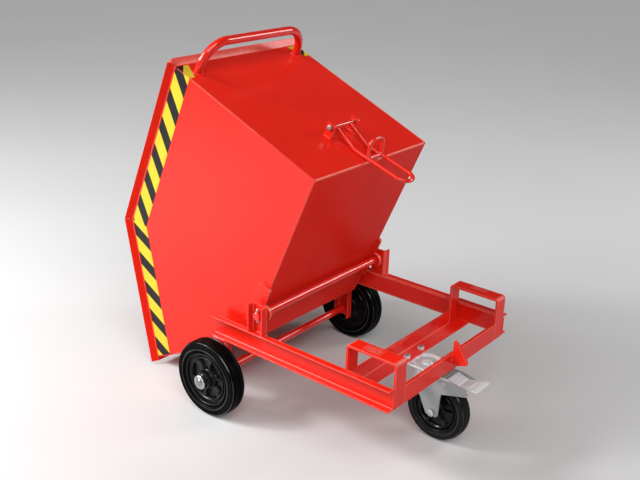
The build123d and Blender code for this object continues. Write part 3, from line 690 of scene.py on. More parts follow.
def skinned(stations, sides, closed=False):
    """A round section carried through stations, each a matrix that places and sizes it."""
    shape = bmesh.new()
    ring = bmesh.ops.create_circle(
        shape, cap_ends=not closed, radius=1, segments=sides, matrix=stations[0]
    )["verts"]
    first = edges = list({e for v in ring for e in v.link_edges})
    for before, after in zip(stations, stations[1:]):
        grown = bmesh.ops.extrude_edge_only(shape, edges=edges)["geom"]
        ring = [item for item in grown if isinstance(item, bmesh.types.BMVert)]
        members = set(ring)
        edges = [edge for edge in edges_in(grown) if members.issuperset(edge.verts)]
        bmesh.ops.transform(shape, matrix=after @ before.inverted(), verts=ring)
    if closed:
        bmesh.ops.bridge_loops(shape, edges=edges + first)
    else:
        bmesh.ops.contextual_create(shape, geom=edges)
    return outward(shape)


def bead(shape, start, end, size_mm=None):
    """A rippled weld bead along a straight line between two points, drawn in at its ends."""
    look = bpy.context.scene.trolley_welds
    size = size_mm * MM if size_mm else look.size
    run = end - start
    heading = run.to_track_quat("Z", "Y").to_matrix().to_4x4()
    count = max(2, round(run.length / look.ripple))

    def station(share, wide):
        point = Matrix.Translation(start + run * share)
        return point @ heading @ Matrix.Diagonal((wide, wide, 1, 1))

    stations = [station(0, 0.35 * size)]
    for k in range(count):
        wander = 1 + 0.07 * sin(2.3 * k + 0.7)
        for share, swell in ((0.3, 1.05), (0.8, 0.91)):
            stations.append(station((k + share) / count, size * swell * wander))
    stations.append(station(1, 0.35 * size))
    return joined(shape, skinned(stations, 8))


def ring_bead(shape, place, radius_mm):
    """A rippled weld bead round a tube or bar, about local Z."""
    look = bpy.context.scene.trolley_welds
    radius = radius_mm * MM
    count = 3 * max(6, round(2 * pi * radius / look.ripple))
    stations = []
    for k in range(count):
        wide = look.size * (1 + 0.08 * sin(2 * pi * k / 3) + 0.05 * sin(0.9 * k))
        stations.append(
            place @ Matrix.Rotation(2 * pi * k / count, 4, "Z") @ Matrix.Translation((radius, 0, 0))
            @ about("X", -90) @ Matrix.Diagonal((wide, wide, 1, 1))
        )
    return joined(shape, skinned(stations, 8, closed=True))


# A bolt and its nut: across flats, shank radius, nut's bore, thread's pitch and its length
Bolt = namedtuple("Bolt", "flats radius bore pitch threaded")
LATCH_BOLT = Bolt(13.0, 3.95, 4.05, 1.25, 14.0)
PLATE_BOLT = Bolt(16.0, 4.95, 5.05, 1.5, 12.5)
AXLE_BOLT = Bolt(19.0, 5.95, 6.05, 1.75, 16.0)


def rod(shape, place, start, length, radius, end_radius=None, sides=28, capped=True):
    """A straight rod on local Z, in millimetres; gives back its vertices."""
    return bmesh.ops.create_cone(
        shape, cap_ends=capped, cap_tris=False, segments=sides, radius1=radius * MM,
        radius2=(end_radius or radius) * MM, depth=length * MM,
        matrix=place @ Matrix.Translation((0, 0, (start + length / 2) * MM)),
    )["verts"]


def hexagon(shape, place, bolt, height, chamfer, bored=False):
    """A bolt's head or bored nut on local Z, in millimetres, with its corners eased."""
    home = (place @ Matrix.Translation((0, 0, height / 2 * MM))).inverted()
    turn = place @ about("Z", 30)

    def level(vertex):
        return (home @ vertex.co).z

    def ends(vertices):
        around = {edge for vertex in vertices for edge in vertex.link_edges}
        return [e for e in around if abs(level(e.verts[0]) - level(e.verts[1])) < SAME]

    corner = bolt.flats / 2 / cos(pi / 6)
    outer = rod(shape, turn, 0, height, corner, sides=6, capped=not bored)
    rims = ends(outer)
    if bored:
        inner = rod(shape, turn, 0, height, bolt.bore, sides=24, capped=False)
        loops = rims + ends(inner)
        for side in (-1, 1):
            bmesh.ops.bridge_loops(
                shape, edges=[e for e in loops if level(e.verts[0]) * side > 0]
            )
        bmesh.ops.recalc_face_normals(
            shape, faces=list({f for v in outer + inner for f in v.link_faces})
        )
    bevelled(shape, rims, chamfer * MM)
    return shape


def shank(shape, place, bolt, length):
    """A bolt's shank on local Z, in millimetres, with a rolled thread over its last part."""
    root = bolt.radius - 0.45 * bolt.pitch
    plain = length - bolt.threaded
    rod(shape, place, 0, plain, bolt.radius)
    rod(shape, place, plain, bolt.threaded, root, root - 0.4)
    turns = max(1, int((bolt.threaded - bolt.pitch) / bolt.pitch))
    turn_steps = 20
    ridge = ((root - 0.3, 0.1), (bolt.radius, 0.5), (root - 0.3, 0.9))
    thread = bmesh.new()
    ring = outline(thread, [(out, plain + share * bolt.pitch) for out, share in ridge])
    bmesh.ops.contextual_create(thread, geom=edges_in(ring))
    end = bmesh.ops.spin(
        thread, geom=ring, cent=(0, 0, 0), axis=(0, 0, 1),
        dvec=(0, 0, bolt.pitch * MM / turn_steps), angle=2 * pi * turns, steps=turn_steps * turns,
        use_merge=False, use_normal_flip=False, use_duplicate=False,
    )["geom_last"]
    bmesh.ops.contextual_create(thread, geom=edges_in(end))
    return joined(shape, moved(outward(thread), place))


def cross_bolt(bolt, node, nut, centre, seat, body, finishes, chamfers):
    """A bolt across the trolley: its head on the left against its seat, its nut on the right."""
    low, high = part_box(node)
    nut_low, nut_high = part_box(nut)
    head = Matrix.Translation((centre.x, seat, centre.z)) @ about("X", 90)
    shape = hexagon(bmesh.new(), head, bolt, (seat - low.y) / MM, chamfers[0])
    shank(shape, head @ about("X", 180), bolt, (high.y - seat) / MM)
    finished(node + "_threaded", shape, finishes[0], body, [node])
    foot = Matrix.Translation((centre.x, nut_low.y, centre.z)) @ about("X", -90)
    shape = hexagon(bmesh.new(), foot, bolt, (nut_high.y - nut_low.y) / MM, chamfers[1], True)
    finished(nut + "_eased", shape, finishes[1], body, [nut])


class TROLLEY_OT_tub(bpy.types.Operator):
    """Paint the folded tub, its side panels and its hinge ears"""

    bl_idname = "trolley.tub"
    bl_label = "Tub"

    def execute(self, context):
        edge = context.scene.trolley_enamel.edge
        for node in ("tub_wrap", "left_panel", "right_panel"):
            self.dull_and_lighten_rim(softened(node, enamel(), "tub", "red_paint", edge).data)
        for node in ("left_ear", "right_ear"):
            softened(node, enamel(), "tub", "red_paint", edge)
        return {"FINISHED"}

    def dull_and_lighten_rim(self, mesh):
        """Dull the paint under the floor and on the flared sides, and paint the back of the rim
        pale pink as a painted reflection.
        """
        mesh.materials.append(enamel("dull_red_enamel", dull=True))
        rubbed = mesh.attributes["edge"].data
        home = TUB.to_3x3().inverted()
        strip = 0.001  # a flared strip is larger than this, in square metres
        for face in mesh.polygons:
            way = home @ face.normal
            under = way.z < -0.73
            flared = 0.6 < abs(way.y) < 0.8 and way.z < -0.3 and face.area > strip
            face.material_index = int(under or flared)
            # The back strip of the rim takes the pale edge colour: a painted reflection.
            if way.x > 0.6 and way.z < -0.6:
                rubbed[face.index].value = 0.9


class TROLLEY_OT_frame(bpy.types.Operator):
    """Paint the rails, posts, hangers, rests, cross members and catch hook"""

    bl_idname = "trolley.frame"
    bl_label = "Frame"

    # Corners of the places on top of the rests that the tub has rubbed
    RUBBED_MM = (((302, -232, 304), (355, -203, 312)), ((310, 216, 304), (362, 240, 312)))

    def execute(self, context):
        edge = context.scene.trolley_enamel.edge
        for node in (
            "left_rail", "right_rail", "left_post", "right_post", "left_hanger", "right_hanger",
            "front_angle", "rear_angle", "cross_bar", "catch_hook",
        ):
            softened(node, enamel(), "chassis", "red_paint", edge)
        worn = enamel("rubbed_red_enamel", self.RUBBED_MM)
        for node in ("left_rest", "right_rest"):
            softened(node, worn, "chassis", "red_paint", 1.5 * edge)
        return {"FINISHED"}


class TROLLEY_OT_axles(bpy.types.Operator):
    """Finish both axles with their spacers, washers, collars and split pins"""

    bl_idname = "trolley.axles"
    bl_label = "Axles"

    PIN_INSET_MM = 4.0
    WIRE_MM = (0.95, 1.8)
    LEG_MM = 1.0
    EYE_MM = 2.9

    def execute(self, context):
        dress(bar_enamel(), "pivot_axle")
        painted_mm = -box_mm("axle_spacers")[0].y - 1.6
        dress(enamel("bare_ended_red_enamel", bare_past=painted_mm, shine=0.3), "wheel_axle")
        for node in ("pivot_spacers", "pivot_washers"):
            softened(node, enamel(), "chassis", "red_paint", 0.5 * MM)
        softened("axle_spacers", zinc(), "chassis", "zinc", 0.3 * MM)
        softened("set_collars", zinc("collar_zinc"), "chassis", "zinc", 1.2 * MM)
        dress(zinc("dark_zinc"), "collar_screws")
        shape = bmesh.new()
        low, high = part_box("split_pins")
        inset = self.PIN_INSET_MM * MM
        for side in (low.y + inset, high.y - inset):
            self.split_pin(shape, Vector((middle("split_pins").x, side, low.z)), high.z - low.z)
        finished("split_pins_bent", shape, zinc(), "chassis", ["split_pins"], 50)
        return {"FINISHED"}

    def split_pin(self, shape, foot, height):
        """A split pin of half-round wire: up one leg, round the eye and down the bent leg."""
        wire = Matrix.Diagonal((self.WIRE_MM[0] * MM, self.WIRE_MM[1] * MM, 1, 1))
        leg = Vector((self.LEG_MM * MM, 0, 0))
        eye = self.EYE_MM * MM
        neck = height - 3.2 * eye

        def ahead(length):
            return Matrix.Translation((0, 0, length))

        up = Matrix.Translation(foot - leg)
        stations = [up, up @ ahead(neck), up @ ahead(neck) @ about("Y", -42) @ ahead(1.6 * MM)]
        steps = 16
        out, back = Matrix.Translation((eye, 0, 0)), Matrix.Translation((-eye, 0, 0))
        for _ in range(steps):
            stations.append(stations[-1] @ out @ about("Y", (360 - 2 * 48) / steps) @ back)
        down = Matrix.Translation(foot + leg) @ ahead(neck) @ about("Y", 180)
        stations += [down, down @ ahead(neck - 9 * MM)]
        for _ in range(5):
            stations.append(stations[-1] @ about("Y", -9) @ ahead(1.5 * MM))
        joined(shape, skinned([station @ wire for station in stations], 10))


class TROLLEY_OT_tape(bpy.types.Operator):
    """Lay the striped tape under the rim and round onto the back wall"""

    bl_idname = "trolley.tape"
    bl_label = "Striped tape"

    OUTSIDE_MM = 219.4
    LOWER_START_MM = 461.4  # length of tape used up where the sloping run starts

    def execute(self, context):
        for side, ahead in (("left", 1), ("right", -1)):
            shape = merged(side + "_tape")
            self.unroll(shape, ahead)
            finished(
                side + "_tape_striped", shape, hazard_tape(), "tub",
                [side + "_tape"],
            )
        return {"FINISHED"}

    def unroll(self, shape, ahead):
        """Lay the tape's own length and width out as its UV map; both come off one roll."""
        uv = shape.loops.layers.uv.new("tape")
        home = TUB.inverted()
        mitre = Vector((cos(HALF_KINK), 0, sin(HALF_KINK)))
        kink = Vector((KINK_MM.x, 0, KINK_MM.y))
        bmesh.ops.bisect_plane(
            shape, geom=shape.verts[:] + shape.edges[:] + shape.faces[:],
            plane_co=on_tub(*kink), plane_no=TUB.to_3x3() @ mitre,
        )
        slope = (LIP_MM - KINK_MM).normalized()
        across = Vector((-slope.y, slope.x))
        for face in shape.faces:
            centre = home @ face.calc_center_median() / MM
            facing_back = abs((home.to_3x3() @ face.normal).x) > 0.9
            for loop in face.loops:
                x, y, z = (home @ loop.vert.co) / MM
                over = KINK_MM.y - z
                if facing_back and centre.x > -1:
                    along = abs(y) - self.OUTSIDE_MM
                elif (centre - kink).dot(mitre) < 0:
                    from_kink = Vector((x, z)) - KINK_MM
                    along = self.LOWER_START_MM + from_kink.dot(slope)
                    over = from_kink.dot(across)
                else:
                    along = -x
                loop[uv].uv = (ahead * along * MM, over * MM)


class TROLLEY_OT_handle(bpy.types.Operator):
    """Paint the push handle"""

    bl_idname = "trolley.handle"
    bl_label = "Push handle"

    def execute(self, context):
        dress(bar_enamel(), "handle")
        return {"FINISHED"}


class TROLLEY_OT_latch(bpy.types.Operator):
    """Finish the latch: brackets, loop, hinge bolt and nut"""

    bl_idname = "trolley.latch"
    bl_label = "Latch"

    def execute(self, context):
        dress(bar_enamel(), "latch_loop")
        softened("latch_brackets", enamel(), "tub", "red_paint", 0.8 * MM)
        hinge = Vector(joints["latch_swing"]["pos_m"])
        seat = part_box("latch_brackets")[0].y
        finishes = zinc("latch_zinc"), zinc("latch_zinc")
        cross_bolt(
            LATCH_BOLT, "latch_bolt", "latch_nut", hinge, seat, "tub", finishes, (0.9, 0.9)
        )
        return {"FINISHED"}


# A moulded rim: radius of its tyre seat, depth of its ring, half the tyre's width, hub and half
# its width, bore and height of the spoke face
Rim = namedtuple("Rim", "radius ring half hub hub_half bore face")
WEB_MM = 4.0  # half the web that the pockets of both sides leave


def tyre_lip(radius, seat):
    """How far out a tyre's raised lip lies."""
    return seat + 0.30 * (radius - seat)


def rubbed_lip(shape, place, radius, seat):
    """Give the second finish to a tyre's lip beside its rim, and to the shoulders of its tread."""
    home = place.inverted()
    lip = tyre_lip(radius, seat)
    for face in shape.faces:
        centre = home @ face.calc_center_median() / MM
        out = hypot(centre.x, centre.y)
        shoulder = radius - 4.6 < out < radius - 2.0
        face.material_index = int(abs(out - lip - 0.6) < 1.6 or shoulder)


def tyre_profile(radius, seat, half):
    """A solid tyre, from its seat on the rim over the wall and the grooved tread."""
    wall = radius - seat
    lip = tyre_lip(radius, seat)
    return mirrored([
        (seat, half - 6.4), (seat + 0.06 * wall, half - 6.0), (lip - 3.4, half - 3.2),
        (lip - 1.6, half - 1.0), (lip - 0.6, half - 0.2), (lip + 0.4, half),
        (lip + 1.4, half - 0.4), (lip + 2.4, half - 1.3), (lip + 3.6, half - 1.8),
        (lip + 0.24 * wall, half - 1.9), (radius - 9.6, half - 1.5), (radius - 8.4, half - 0.9),
        (radius - 7.2, half - 0.9), (radius - 5.6, half - 1.9), (radius - 3.9, half - 3.6),
        (radius - 2.4, half - 5.6), (radius - 1.5, half - 7.4), (radius - 1.7, half - 8.0),
        (radius - 2.6, half - 8.5), (radius - 2.6, half - 9.3), (radius - 0.9, half - 9.8),
        (radius - 0.4, half - 10.6), (radius - 0.1, half - 13.4), (radius, 4.6),
        (radius - 0.2, 4.0), (radius - 1.6, 3.5), (radius - 1.6, 2.5), (radius - 0.2, 2.0),
        (radius, 1.4), (radius, 0.4),
    ])


def rim_profile(rim):
    """A moulded rim, from its bore over the spoke face to the tyre seat."""
    radius, ring, half, hub, hub_half, bore, face = rim
    inner = radius - ring
    lip = half - 3.0
    return mirrored([
        (bore, hub_half - 0.8), (bore + 0.8, hub_half), (hub - 1.6, hub_half),
        (hub - 0.4, hub_half - 0.6), (hub, hub_half - 2.0), (hub + 1.2, face + 2.0),
        (hub + 2.4, face + 0.4), (hub + 3.6, face), (inner - 3.0, face), (inner - 1.6, face + 0.6),
        (inner - 0.4, face + 2.4), (inner + 0.8, face + 3.4), (inner + 2.0, face + 3.4),
        (inner + 2.9, face + 2.4), (inner + 3.6, face + 0.4), (inner + 4.4, face - 1.0),
        (inner + 5.4, face - 1.4), (radius - 5.4, face - 0.8), (radius - 4.2, lip - 4.6),
        (radius - 3.2, lip - 1.4), (radius - 2.2, lip - 0.2), (radius - 1.1, lip),
        (radius, lip - 0.7),
    ])


def moulded_rim(place, rim, lead, boss_side):
    """A spoked rim: turned as one piece, with the pockets between its spokes pressed in."""
    look = bpy.context.scene.trolley_wheels
    sector = 12
    steps = look.spokes * sector
    inner = rim.radius - rim.ring
    shape = turned(rim_profile(rim), Matrix.Identity(4), steps)

    def in_pocket(centre):
        out = hypot(centre.x, centre.y) / MM
        number = int(atan2(centre.y, centre.x) % (2 * pi) / (2 * pi / steps)) % sector
        on_face = abs(abs(centre.z / MM) - rim.face) < 0.05
        return on_face and rim.hub + 3.6 < out < inner - 3.0 and 0 < number < sector - 1

    bmesh.ops.inset_region(
        shape, faces=[f for f in shape.faces if in_pocket(f.calc_center_median())],
        use_boundary=True, use_even_offset=True, thickness=look.draft,
        depth=-(rim.face - WEB_MM) * MM,
    )
    lips = [
        e for e in shape.edges
        if e.is_manifold and e.calc_face_angle() > radians(40)
        and rim.hub + 2 < hypot(*(e.verts[0].co + e.verts[1].co).xy) / 2 / MM < inner
    ]
    bevelled(shape, lips, 1.0 * MM)
    moved(shape, Matrix.Rotation(lead, 4, "Z"))
    if boss_side:
        joined(shape, pocket_boss(rim.face, boss_side))
    return moved(shape, place)


def pocket_boss(face, side):
    """The small round boss in one pocket of a rim."""
    spot = about("Z", 64) @ Matrix.Translation(mm(35, 0, 0))
    if side < 0:
        spot = spot @ about("X", 180)
    return turned(
        [(0, WEB_MM - 1.5), (6.4, WEB_MM - 1.5), (5.6, face + 1.4), (4.8, face + 2.2),
         (2.6, face + 2.2), (1.9, face + 1.2), (0, face + 1.0)],
        spot, 24,
    )


def mould_wheel(wheel, finish, steps, ring, hub, face, lead, boss_side=0):
    """A solid tyre on its spoked rim, and the bush in its hub."""
    tyre, rim, bush = wheel + "_tyre", wheel + "_rim", wheel + "_bush"
    body = wheel + "_wheel"
    outside, seat = half_mm(tyre), half_mm(rim)
    place = cross_axle(middle(tyre))
    shape = turned(tyre_profile(outside.z, seat.z, outside.y), place, steps)
    rubbed_lip(shape, place, outside.z, seat.z)
    piece = finished(tyre + "_moulded", shape, finish, body, [tyre], 50)
    piece.data.materials.append(rubber("rubbed_tyre_rubber", True))
    sizes = Rim(seat.z, ring, outside.y, hub, seat.y, half_mm(bush).z, face)
    shape = moulded_rim(place, sizes, lead, boss_side)
    finished(rim + "_moulded", shape, plastic(), body, [rim], 40)
    dress(zinc("bush_steel"), bush)


class TROLLEY_OT_fixed_wheels(bpy.types.Operator):
    """Mould the two fixed wheels: solid tyres on spoked rims with steel bushes"""

    bl_idname = "trolley.fixed_wheels"
    bl_label = "Fixed wheels"

    def execute(self, context):
        lead = context.scene.trolley_wheels.spoke_lead
        for wheel, boss_side in (("left", -1), ("right", 1)):
            mould_wheel(
                wheel, rubber(), 144, ring=14.0, hub=23.0, face=14.0, lead=lead,
                boss_side=boss_side,
            )
        return {"FINISHED"}


class TROLLEY_OT_castor_wheel(bpy.types.Operator):
    """Mould the castor wheel"""

    bl_idname = "trolley.castor_wheel"
    bl_label = "Castor wheel"

    def execute(self, context):
        grey = rubber("grey_tyre_rubber", grey=0.012)
        mould_wheel("castor", grey, 128, ring=11.0, hub=17.0, face=11.5, lead=radians(30))
        return {"FINISHED"}


class TROLLEY_OT_castor(bpy.types.Operator):
    """Plate the castor's top plate, fork, king pin, bolts and nuts"""

    bl_idname = "trolley.castor"
    bl_label = "Castor"

    PLATE_MM = 5.0
    BOLT_EASING_MM = 1.0

    def execute(self, context):
        bright = zinc("bright_zinc_sheet")
        plate = softened("castor_plate", bright, "chassis", "zinc", 0.7 * MM).data
        # The sloping rings of the pressed dish are painted near white: a painted reflection.
        for face in plate.polygons:
            if 0.2 < abs(face.normal.z) < 0.97:
                plate.attributes["edge"].data[face.index].value = 1.0
        softened("castor_fork", zinc("satin_zinc_sheet"), "castor", "zinc", 0.6 * MM)
        dress(zinc("bush_steel"), "castor_race")
        self.king_pin()
        self.plate_bolts()
        cross_bolt(
            AXLE_BOLT, "castor_axle_bolt", "castor_axle_nut", middle("castor_axle_bolt"),
            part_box("castor_fork")[0].y, "castor", (zinc("polished_zinc"), zinc()), (2.6, 1.3),
        )
        return {"FINISHED"}

    def king_pin(self):
        """The riveted pin: flat foot, plain shank and a domed head with its centre mark."""
        low, high = box_mm("king_pin")
        foot, crown = low.z, high.z
        shape = turned(
            [(0, foot), (12.6, foot), (14, foot + 1.3), (14, foot + 4), (8, foot + 4),
             (8, crown - 4), (14, crown - 4), (13.8, crown - 2.8), (12.4, crown - 1.5),
             (9.4, crown - 0.5), (6.0, crown), (3.6, crown - 0.1), (2.6, crown - 0.9),
             (0, crown - 1.2)],
            Matrix.Translation((middle("king_pin").x, 0, 0)), 48,
        )
        finish = zinc("pressed_zinc")
        finished("king_pin_riveted", shape, finish, "chassis", ["king_pin"])

    def plate_bolts(self):
        """Four bolts up through the plate, with their nuts on the angles."""
        low, high = box_mm("castor_bolts")
        nut_low, nut_high = box_mm("castor_nuts")
        seat = box_mm("castor_plate")[0].z + self.PLATE_MM
        flat = PLATE_BOLT.flats / 2
        corner = flat / cos(pi / 6)
        bolts, nuts = bmesh.new(), bmesh.new()
        for x in (low.x + flat, high.x - flat):
            for y in (low.y + corner, high.y - corner):
                head, neck, foot = (
                    Matrix.Translation(mm(x, y, z)) for z in (low.z, seat, nut_low.z)
                )
                hexagon(bolts, head, PLATE_BOLT, seat - low.z, self.BOLT_EASING_MM)
                shank(bolts, neck, PLATE_BOLT, high.z - seat)
                thick = nut_high.z - nut_low.z
                hexagon(nuts, foot, PLATE_BOLT, thick, self.BOLT_EASING_MM, True)
        finished("castor_bolts_threaded", bolts, zinc(), "chassis", ["castor_bolts"])
        finish = zinc("pressed_zinc")
        finished("castor_nuts_eased", nuts, finish, "chassis", ["castor_nuts"])


class TROLLEY_OT_brake(bpy.types.Operator):
    """Plate the brake pedal with its raised pad, and its pin"""

    bl_idname = "trolley.brake"
    bl_label = "Brake pedal"

    # Ends of the pedal's tread behind the king pin, and its pad along, across and up
    DIP_MM = Vector((101.0, 0, 173.5))
    TIP_MM = Vector((156.0, 0, 182.5))
    PAD_MM = Vector((19.0, 36.0, 2.0))
    PAD_SHARE = 0.36

    def execute(self, context):
        finish = zinc("pedal_zinc")
        softened("brake_pedal", finish, "brake", "zinc", 0.5 * MM)
        softened("pedal_pin", zinc("pin_zinc"), "castor", "zinc", 0.4 * MM)
        king = Vector((joints["castor_swivel"]["pos_m"][0], 0, 0))
        tread = self.TIP_MM - self.DIP_MM
        lean = Matrix.Rotation(-atan2(tread.z, tread.x), 4, "Y")
        centre = king + (self.DIP_MM + tread * self.PAD_SHARE) * MM
        size = Matrix.Diagonal((*(self.PAD_MM * MM), 1))
        shape = bmesh.new()
        bmesh.ops.create_cube(shape, size=1, matrix=size)
        upright = [e for e in shape.edges if abs(e.verts[0].co.z - e.verts[1].co.z) > 1 * MM]
        bevelled(shape, upright, 3 * MM, 4)
        rounded(shape, 0.8 * MM, 50, 3)
        moved(shape, Matrix.Translation(centre) @ lean)
        finished("pedal_raised_pad", shape, finish, "brake")
        return {"FINISHED"}


class TROLLEY_OT_welds(bpy.types.Operator):
    """Lay the painted weld beads of the frame, tub, handle and latch"""

    bl_idname = "trolley.welds"
    bl_label = "Welds"

    # The hinge ears on the side walls, in the tub's frame
    EAR_BACK_MM, EAR_FRONT_MM, EAR_TOP_MM = -322.0, -454.0, 29.0
    # Ends of the seams of a side wall, as (along, up) in the tub's frame
    SEAMS_MM = (
        ((-0.9, 468), (-0.9, 8)), ((-8, 2.0), (-318, 2.0)), ((-458, 2.0), (-502, 2.0)),
        ((-515, 6), (-788, 244)),
    )
    FLARE_MM = 13.0
    BRACKET_MM = 7.0

    def execute(self, context):
        on_frame, on_wall, on_handle = bmesh.new(), bmesh.new(), bmesh.new()
        for side in (-1, 1):
            self.post_welds(on_frame, side)
            self.rest_welds(on_frame, side)
        self.hook_welds(on_frame)
        for side in (-1, 1):
            self.ear_welds(on_wall, side)
            self.seam_welds(on_wall, side)
            self.rim_welds(on_wall, side)
        self.bracket_welds(on_wall)
        self.handle_welds(on_handle)
        for name, shape, body in (
            ("frame_welds", on_frame, "chassis"), ("tub_welds", on_wall, "tub"),
            ("handle_welds", on_handle, "tub"),
        ):
            finished(name, shape, bar_enamel(), body, sharp=60)
        return {"FINISHED"}

    def post_welds(self, shape, side):
        """Feet of a post, head of a hanger and the wheel axle in its hanger."""
        low, high = box_mm("left_post")
        inside, outside = abs(high.y) * side, abs(low.y) * side
        start, end = inside + 2 * side, outside - 2 * side
        web = inside + 4 * side
        for x in (low.x, high.x):
            bead(shape, mm(x, start, low.z), mm(x, end, low.z))
        bead(shape, mm(low.x + 6, web, low.z), mm(high.x - 6, web, low.z))
        low, high = box_mm("left_hanger")
        for x in (low.x, high.x):
            bead(shape, mm(x, start, high.z), mm(x, end, high.z))
        bead(shape, mm(low.x + 4, outside, high.z), mm(high.x - 4, outside, high.z))
        axle = middle("wheel_axle")
        spot = Matrix.Translation((axle.x, (outside - 4 * side) * MM, axle.z))
        ring_bead(shape, spot @ about("X", 90), 10.8)

    def rest_welds(self, shape, side):
        """Feet of a rest against the rail, and the angles' ends."""
        low, high = box_mm("left_rest")
        inside, wall = abs(high.y) * side, abs(low.y) * side
        rail = box_mm("left_rail")[1].z
        front, rear = low.x, high.x - 0.5
        foot = box_mm("front_angle")[0].z + 4
        bead(shape, mm(front, inside + 1.5 * side, foot), mm(front, wall - 1.5 * side, foot))
        bead(shape, mm(front, wall, foot + 4), mm(front, wall, rail - 3))
        corner = wall + 0.5 * side
        bead(shape, mm(rear, corner, foot), mm(rear, corner, rail - 4))
        for node in ("front_angle", "rear_angle"):
            low, high = box_mm(node)
            bead(shape, mm(low.x + 8, wall, foot), mm(high.x - 4, wall, foot))

    def hook_welds(self, shape):
        """Both sides of the catch hook on the cross bar."""
        low, high = box_mm("catch_hook")
        top = box_mm("cross_bar")[1].z
        for y in (low.y, high.y):
            bead(shape, mm(low.x, y, low.z + 2), mm(low.x, y, top - 1.5), 2.2)

    def ear_welds(self, shape, side):
        """Round the hinge ear on its side panel, and the short bead under the floor."""
        wall = WALL_MM * side
        back, front, top = self.EAR_BACK_MM, self.EAR_FRONT_MM, self.EAR_TOP_MM
        bead(shape, on_tub(back - 6, wall, top), on_tub(front + 6, wall, top), 3.2)
        for x in (back, front):
            bead(shape, on_tub(x, wall, top - 5), on_tub(x, wall, 2), 3.0)
        under = wall + 0.5 * side
        bead(shape, on_tub(back - 8, under, -0.5), on_tub(front + 8, under, -0.5), 1.8)

    def seam_welds(self, shape, side):
        """Ground corner seams where a side panel meets the folded sheet."""
        wall = (WALL_MM - 0.8) * side
        for start, end in self.SEAMS_MM:
            bead(shape, on_tub(start[0], wall, start[1]), on_tub(end[0], wall, end[1]), 1.5)

    def rim_welds(self, shape, side):
        """Mitres of the rim at its kink and at its back corners."""
        kink, top = KINK_MM.x, KINK_MM.y + 4
        lean = self.FLARE_MM * sin(HALF_KINK) / cos(HALF_KINK)
        bead(
            shape, on_tub(kink - 0.3, (WALL_MM + 1) * side, top + 1),
            on_tub(kink - lean, (WALL_MM + self.FLARE_MM) * side, top + self.FLARE_MM), 1.6,
        )
        start, end = (on_tub(out, (WALL_MM + out) * side, top + 0.2 + out) for out in (0.6, 7.4))
        bead(shape, start, end, 1.6)

    def bracket_welds(self, shape):
        """Both sides of the latch brackets on the back wall."""
        low, high = tub_box("latch_brackets")
        for y in (low.y, low.y + self.BRACKET_MM, high.y - self.BRACKET_MM, high.y):
            bead(shape, on_tub(0.2, y, low.z + 1), on_tub(0.2, y, high.z - 1), 2.0)

    def handle_welds(self, shape):
        """Round both ends of the handle's tube on the back wall."""
        low, high = tub_box("handle")
        tube = (high.z - low.z) / 2
        for side in (low.y + tube, high.y - tube):
            spot = TUB @ Matrix.Translation(mm(0.4, side, low.z + tube))
            ring_bead(shape, spot @ about("Y", 90), tube + 0.8)


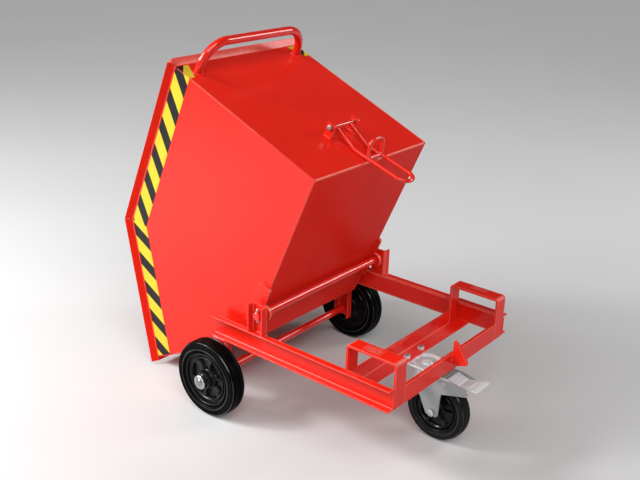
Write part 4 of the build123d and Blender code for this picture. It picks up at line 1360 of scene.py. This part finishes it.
class TROLLEY_OT_stage(bpy.types.Operator):
    """Set the pale floor, the soft lights and the camera"""

    bl_idname = "trolley.stage"
    bl_label = "Stage"

    YAW, PITCH, ROLL = radians(38.72), radians(-21.68), radians(1.75)
    STAND = (1.35283, -1.6970, 1.2782)

    def execute(self, context):
        look = context.scene.trolley_stage
        shape = bmesh.new()
        bmesh.ops.create_grid(shape, x_segments=8, y_segments=8, size=30)
        mesh = meshed("studio_floor", shape)
        mesh.materials.append(studio_floor())
        added("studio_floor", mesh)
        for name, strength, source in (
            ("key_light", look.key, (-0.35, -0.72, 0.60)),
            ("fill_light", look.fill, (0.55, -0.45, 0.70)),
        ):
            self.lamp(name, "SUN", strength, source, (0, 0, 0), angle=radians(45))
        trolley, floor_ahead = (0, 0, 0.4), (-1.1, -1.3, 0)
        for name, power, spot, size, goal in (
            ("side_light", look.side, (2.2, 2.8, 2.1), 1.4, trolley),
            ("glint_light", look.glint, (-2.55, -2.15, 2.7), 0.8, trolley),
            ("front_light", look.front, (-1.3, -1.7, 1.5), 1.0, floor_ahead),
            ("left_light", look.left, (-3.2, -1.4, 1.9), 0.6, trolley),
        ):
            self.lamp(name, "AREA", power, spot, goal, shape="DISK", size=size)
        world = bpy.data.worlds.new("white_surround")
        world.use_nodes = True
        surround = world.node_tree.nodes["Background"]
        surround.inputs["Color"].default_value = (1.0, 1.0, 1.0, 1.0)
        surround.inputs["Strength"].default_value = look.sky
        context.scene.world = world
        context.scene.view_settings.view_transform = "Standard"
        context.scene.camera = self.camera(look.lens)
        return {"FINISHED"}

    def lamp(self, name, kind, power, spot, goal, **settings):
        """A soft light at its spot that faces its goal."""
        data = bpy.data.lights.new(name, kind)
        data.energy = power
        for key, value in settings.items():
            setattr(data, key, value)
        holder = added(name, data)
        holder.location = spot
        aim = Vector(goal) - Vector(spot)
        holder.rotation_euler = aim.to_track_quat("-Z", "Y").to_euler()

    def camera(self, lens):
        """The camera at the photograph's stand and angle."""
        yaw, pitch, roll = self.YAW, self.PITCH, self.ROLL
        ahead = Vector((-sin(yaw) * cos(pitch), cos(yaw) * cos(pitch), sin(pitch)))
        level = Vector((cos(yaw), sin(yaw), 0))
        upright = level.cross(ahead)
        right = level * cos(roll) + upright * sin(roll)
        up = upright * cos(roll) - level * sin(roll)
        data = bpy.data.cameras.new("camera")
        data.lens = lens
        data.sensor_width = 36.0
        holder = added("camera", data)
        turn = Matrix((right, up, -ahead)).transposed().to_4x4()
        holder.matrix_world = Matrix.Translation(self.STAND) @ turn
        return holder


class TROLLEY_PT_sidebar(bpy.types.Panel):
    """Trolley settings and pieces"""

    bl_idname = "TROLLEY_PT_sidebar"
    bl_label = "Box trolley"
    bl_space_type = "VIEW_3D"
    bl_region_type = "UI"
    bl_category = "Trolley"

    def draw(self, context):
        for name in SETTINGS:
            group = getattr(context.scene, name)
            box = self.layout.box()
            for key in group.__annotations__:
                box.prop(group, key)
        for operator in OPERATORS:
            self.layout.operator(operator.bl_idname)


SETTINGS = {
    "trolley_enamel": EnamelSettings,
    "trolley_tape": TapeSettings,
    "trolley_wheels": WheelSettings,
    "trolley_welds": WeldSettings,
    "trolley_stage": StageSettings,
}
OPERATORS = (
    TROLLEY_OT_tub, TROLLEY_OT_frame, TROLLEY_OT_axles, TROLLEY_OT_tape, TROLLEY_OT_handle,
    TROLLEY_OT_latch, TROLLEY_OT_fixed_wheels, TROLLEY_OT_castor_wheel, TROLLEY_OT_castor,
    TROLLEY_OT_brake, TROLLEY_OT_welds, TROLLEY_OT_stage,
)
CLASSES = (*SETTINGS.values(), *OPERATORS, TROLLEY_PT_sidebar)


def register():
    for item in CLASSES:
        bpy.utils.register_class(item)
    for name, group in SETTINGS.items():
        setattr(bpy.types.Scene, name, PointerProperty(type=group))


def unregister():
    for name in SETTINGS:
        delattr(bpy.types.Scene, name)
    for item in reversed(CLASSES):
        bpy.utils.unregister_class(item)


def main():
    register()
    bpy.ops.trolley.tub()
    bpy.ops.trolley.frame()
    bpy.ops.trolley.axles()
    bpy.ops.trolley.tape()
    bpy.ops.trolley.handle()
    bpy.ops.trolley.latch()
    bpy.ops.trolley.fixed_wheels()
    bpy.ops.trolley.castor_wheel()
    bpy.ops.trolley.castor()
    bpy.ops.trolley.brake()
    bpy.ops.trolley.welds()
    bpy.ops.trolley.stage()


if __name__ == "__main__":
    main()
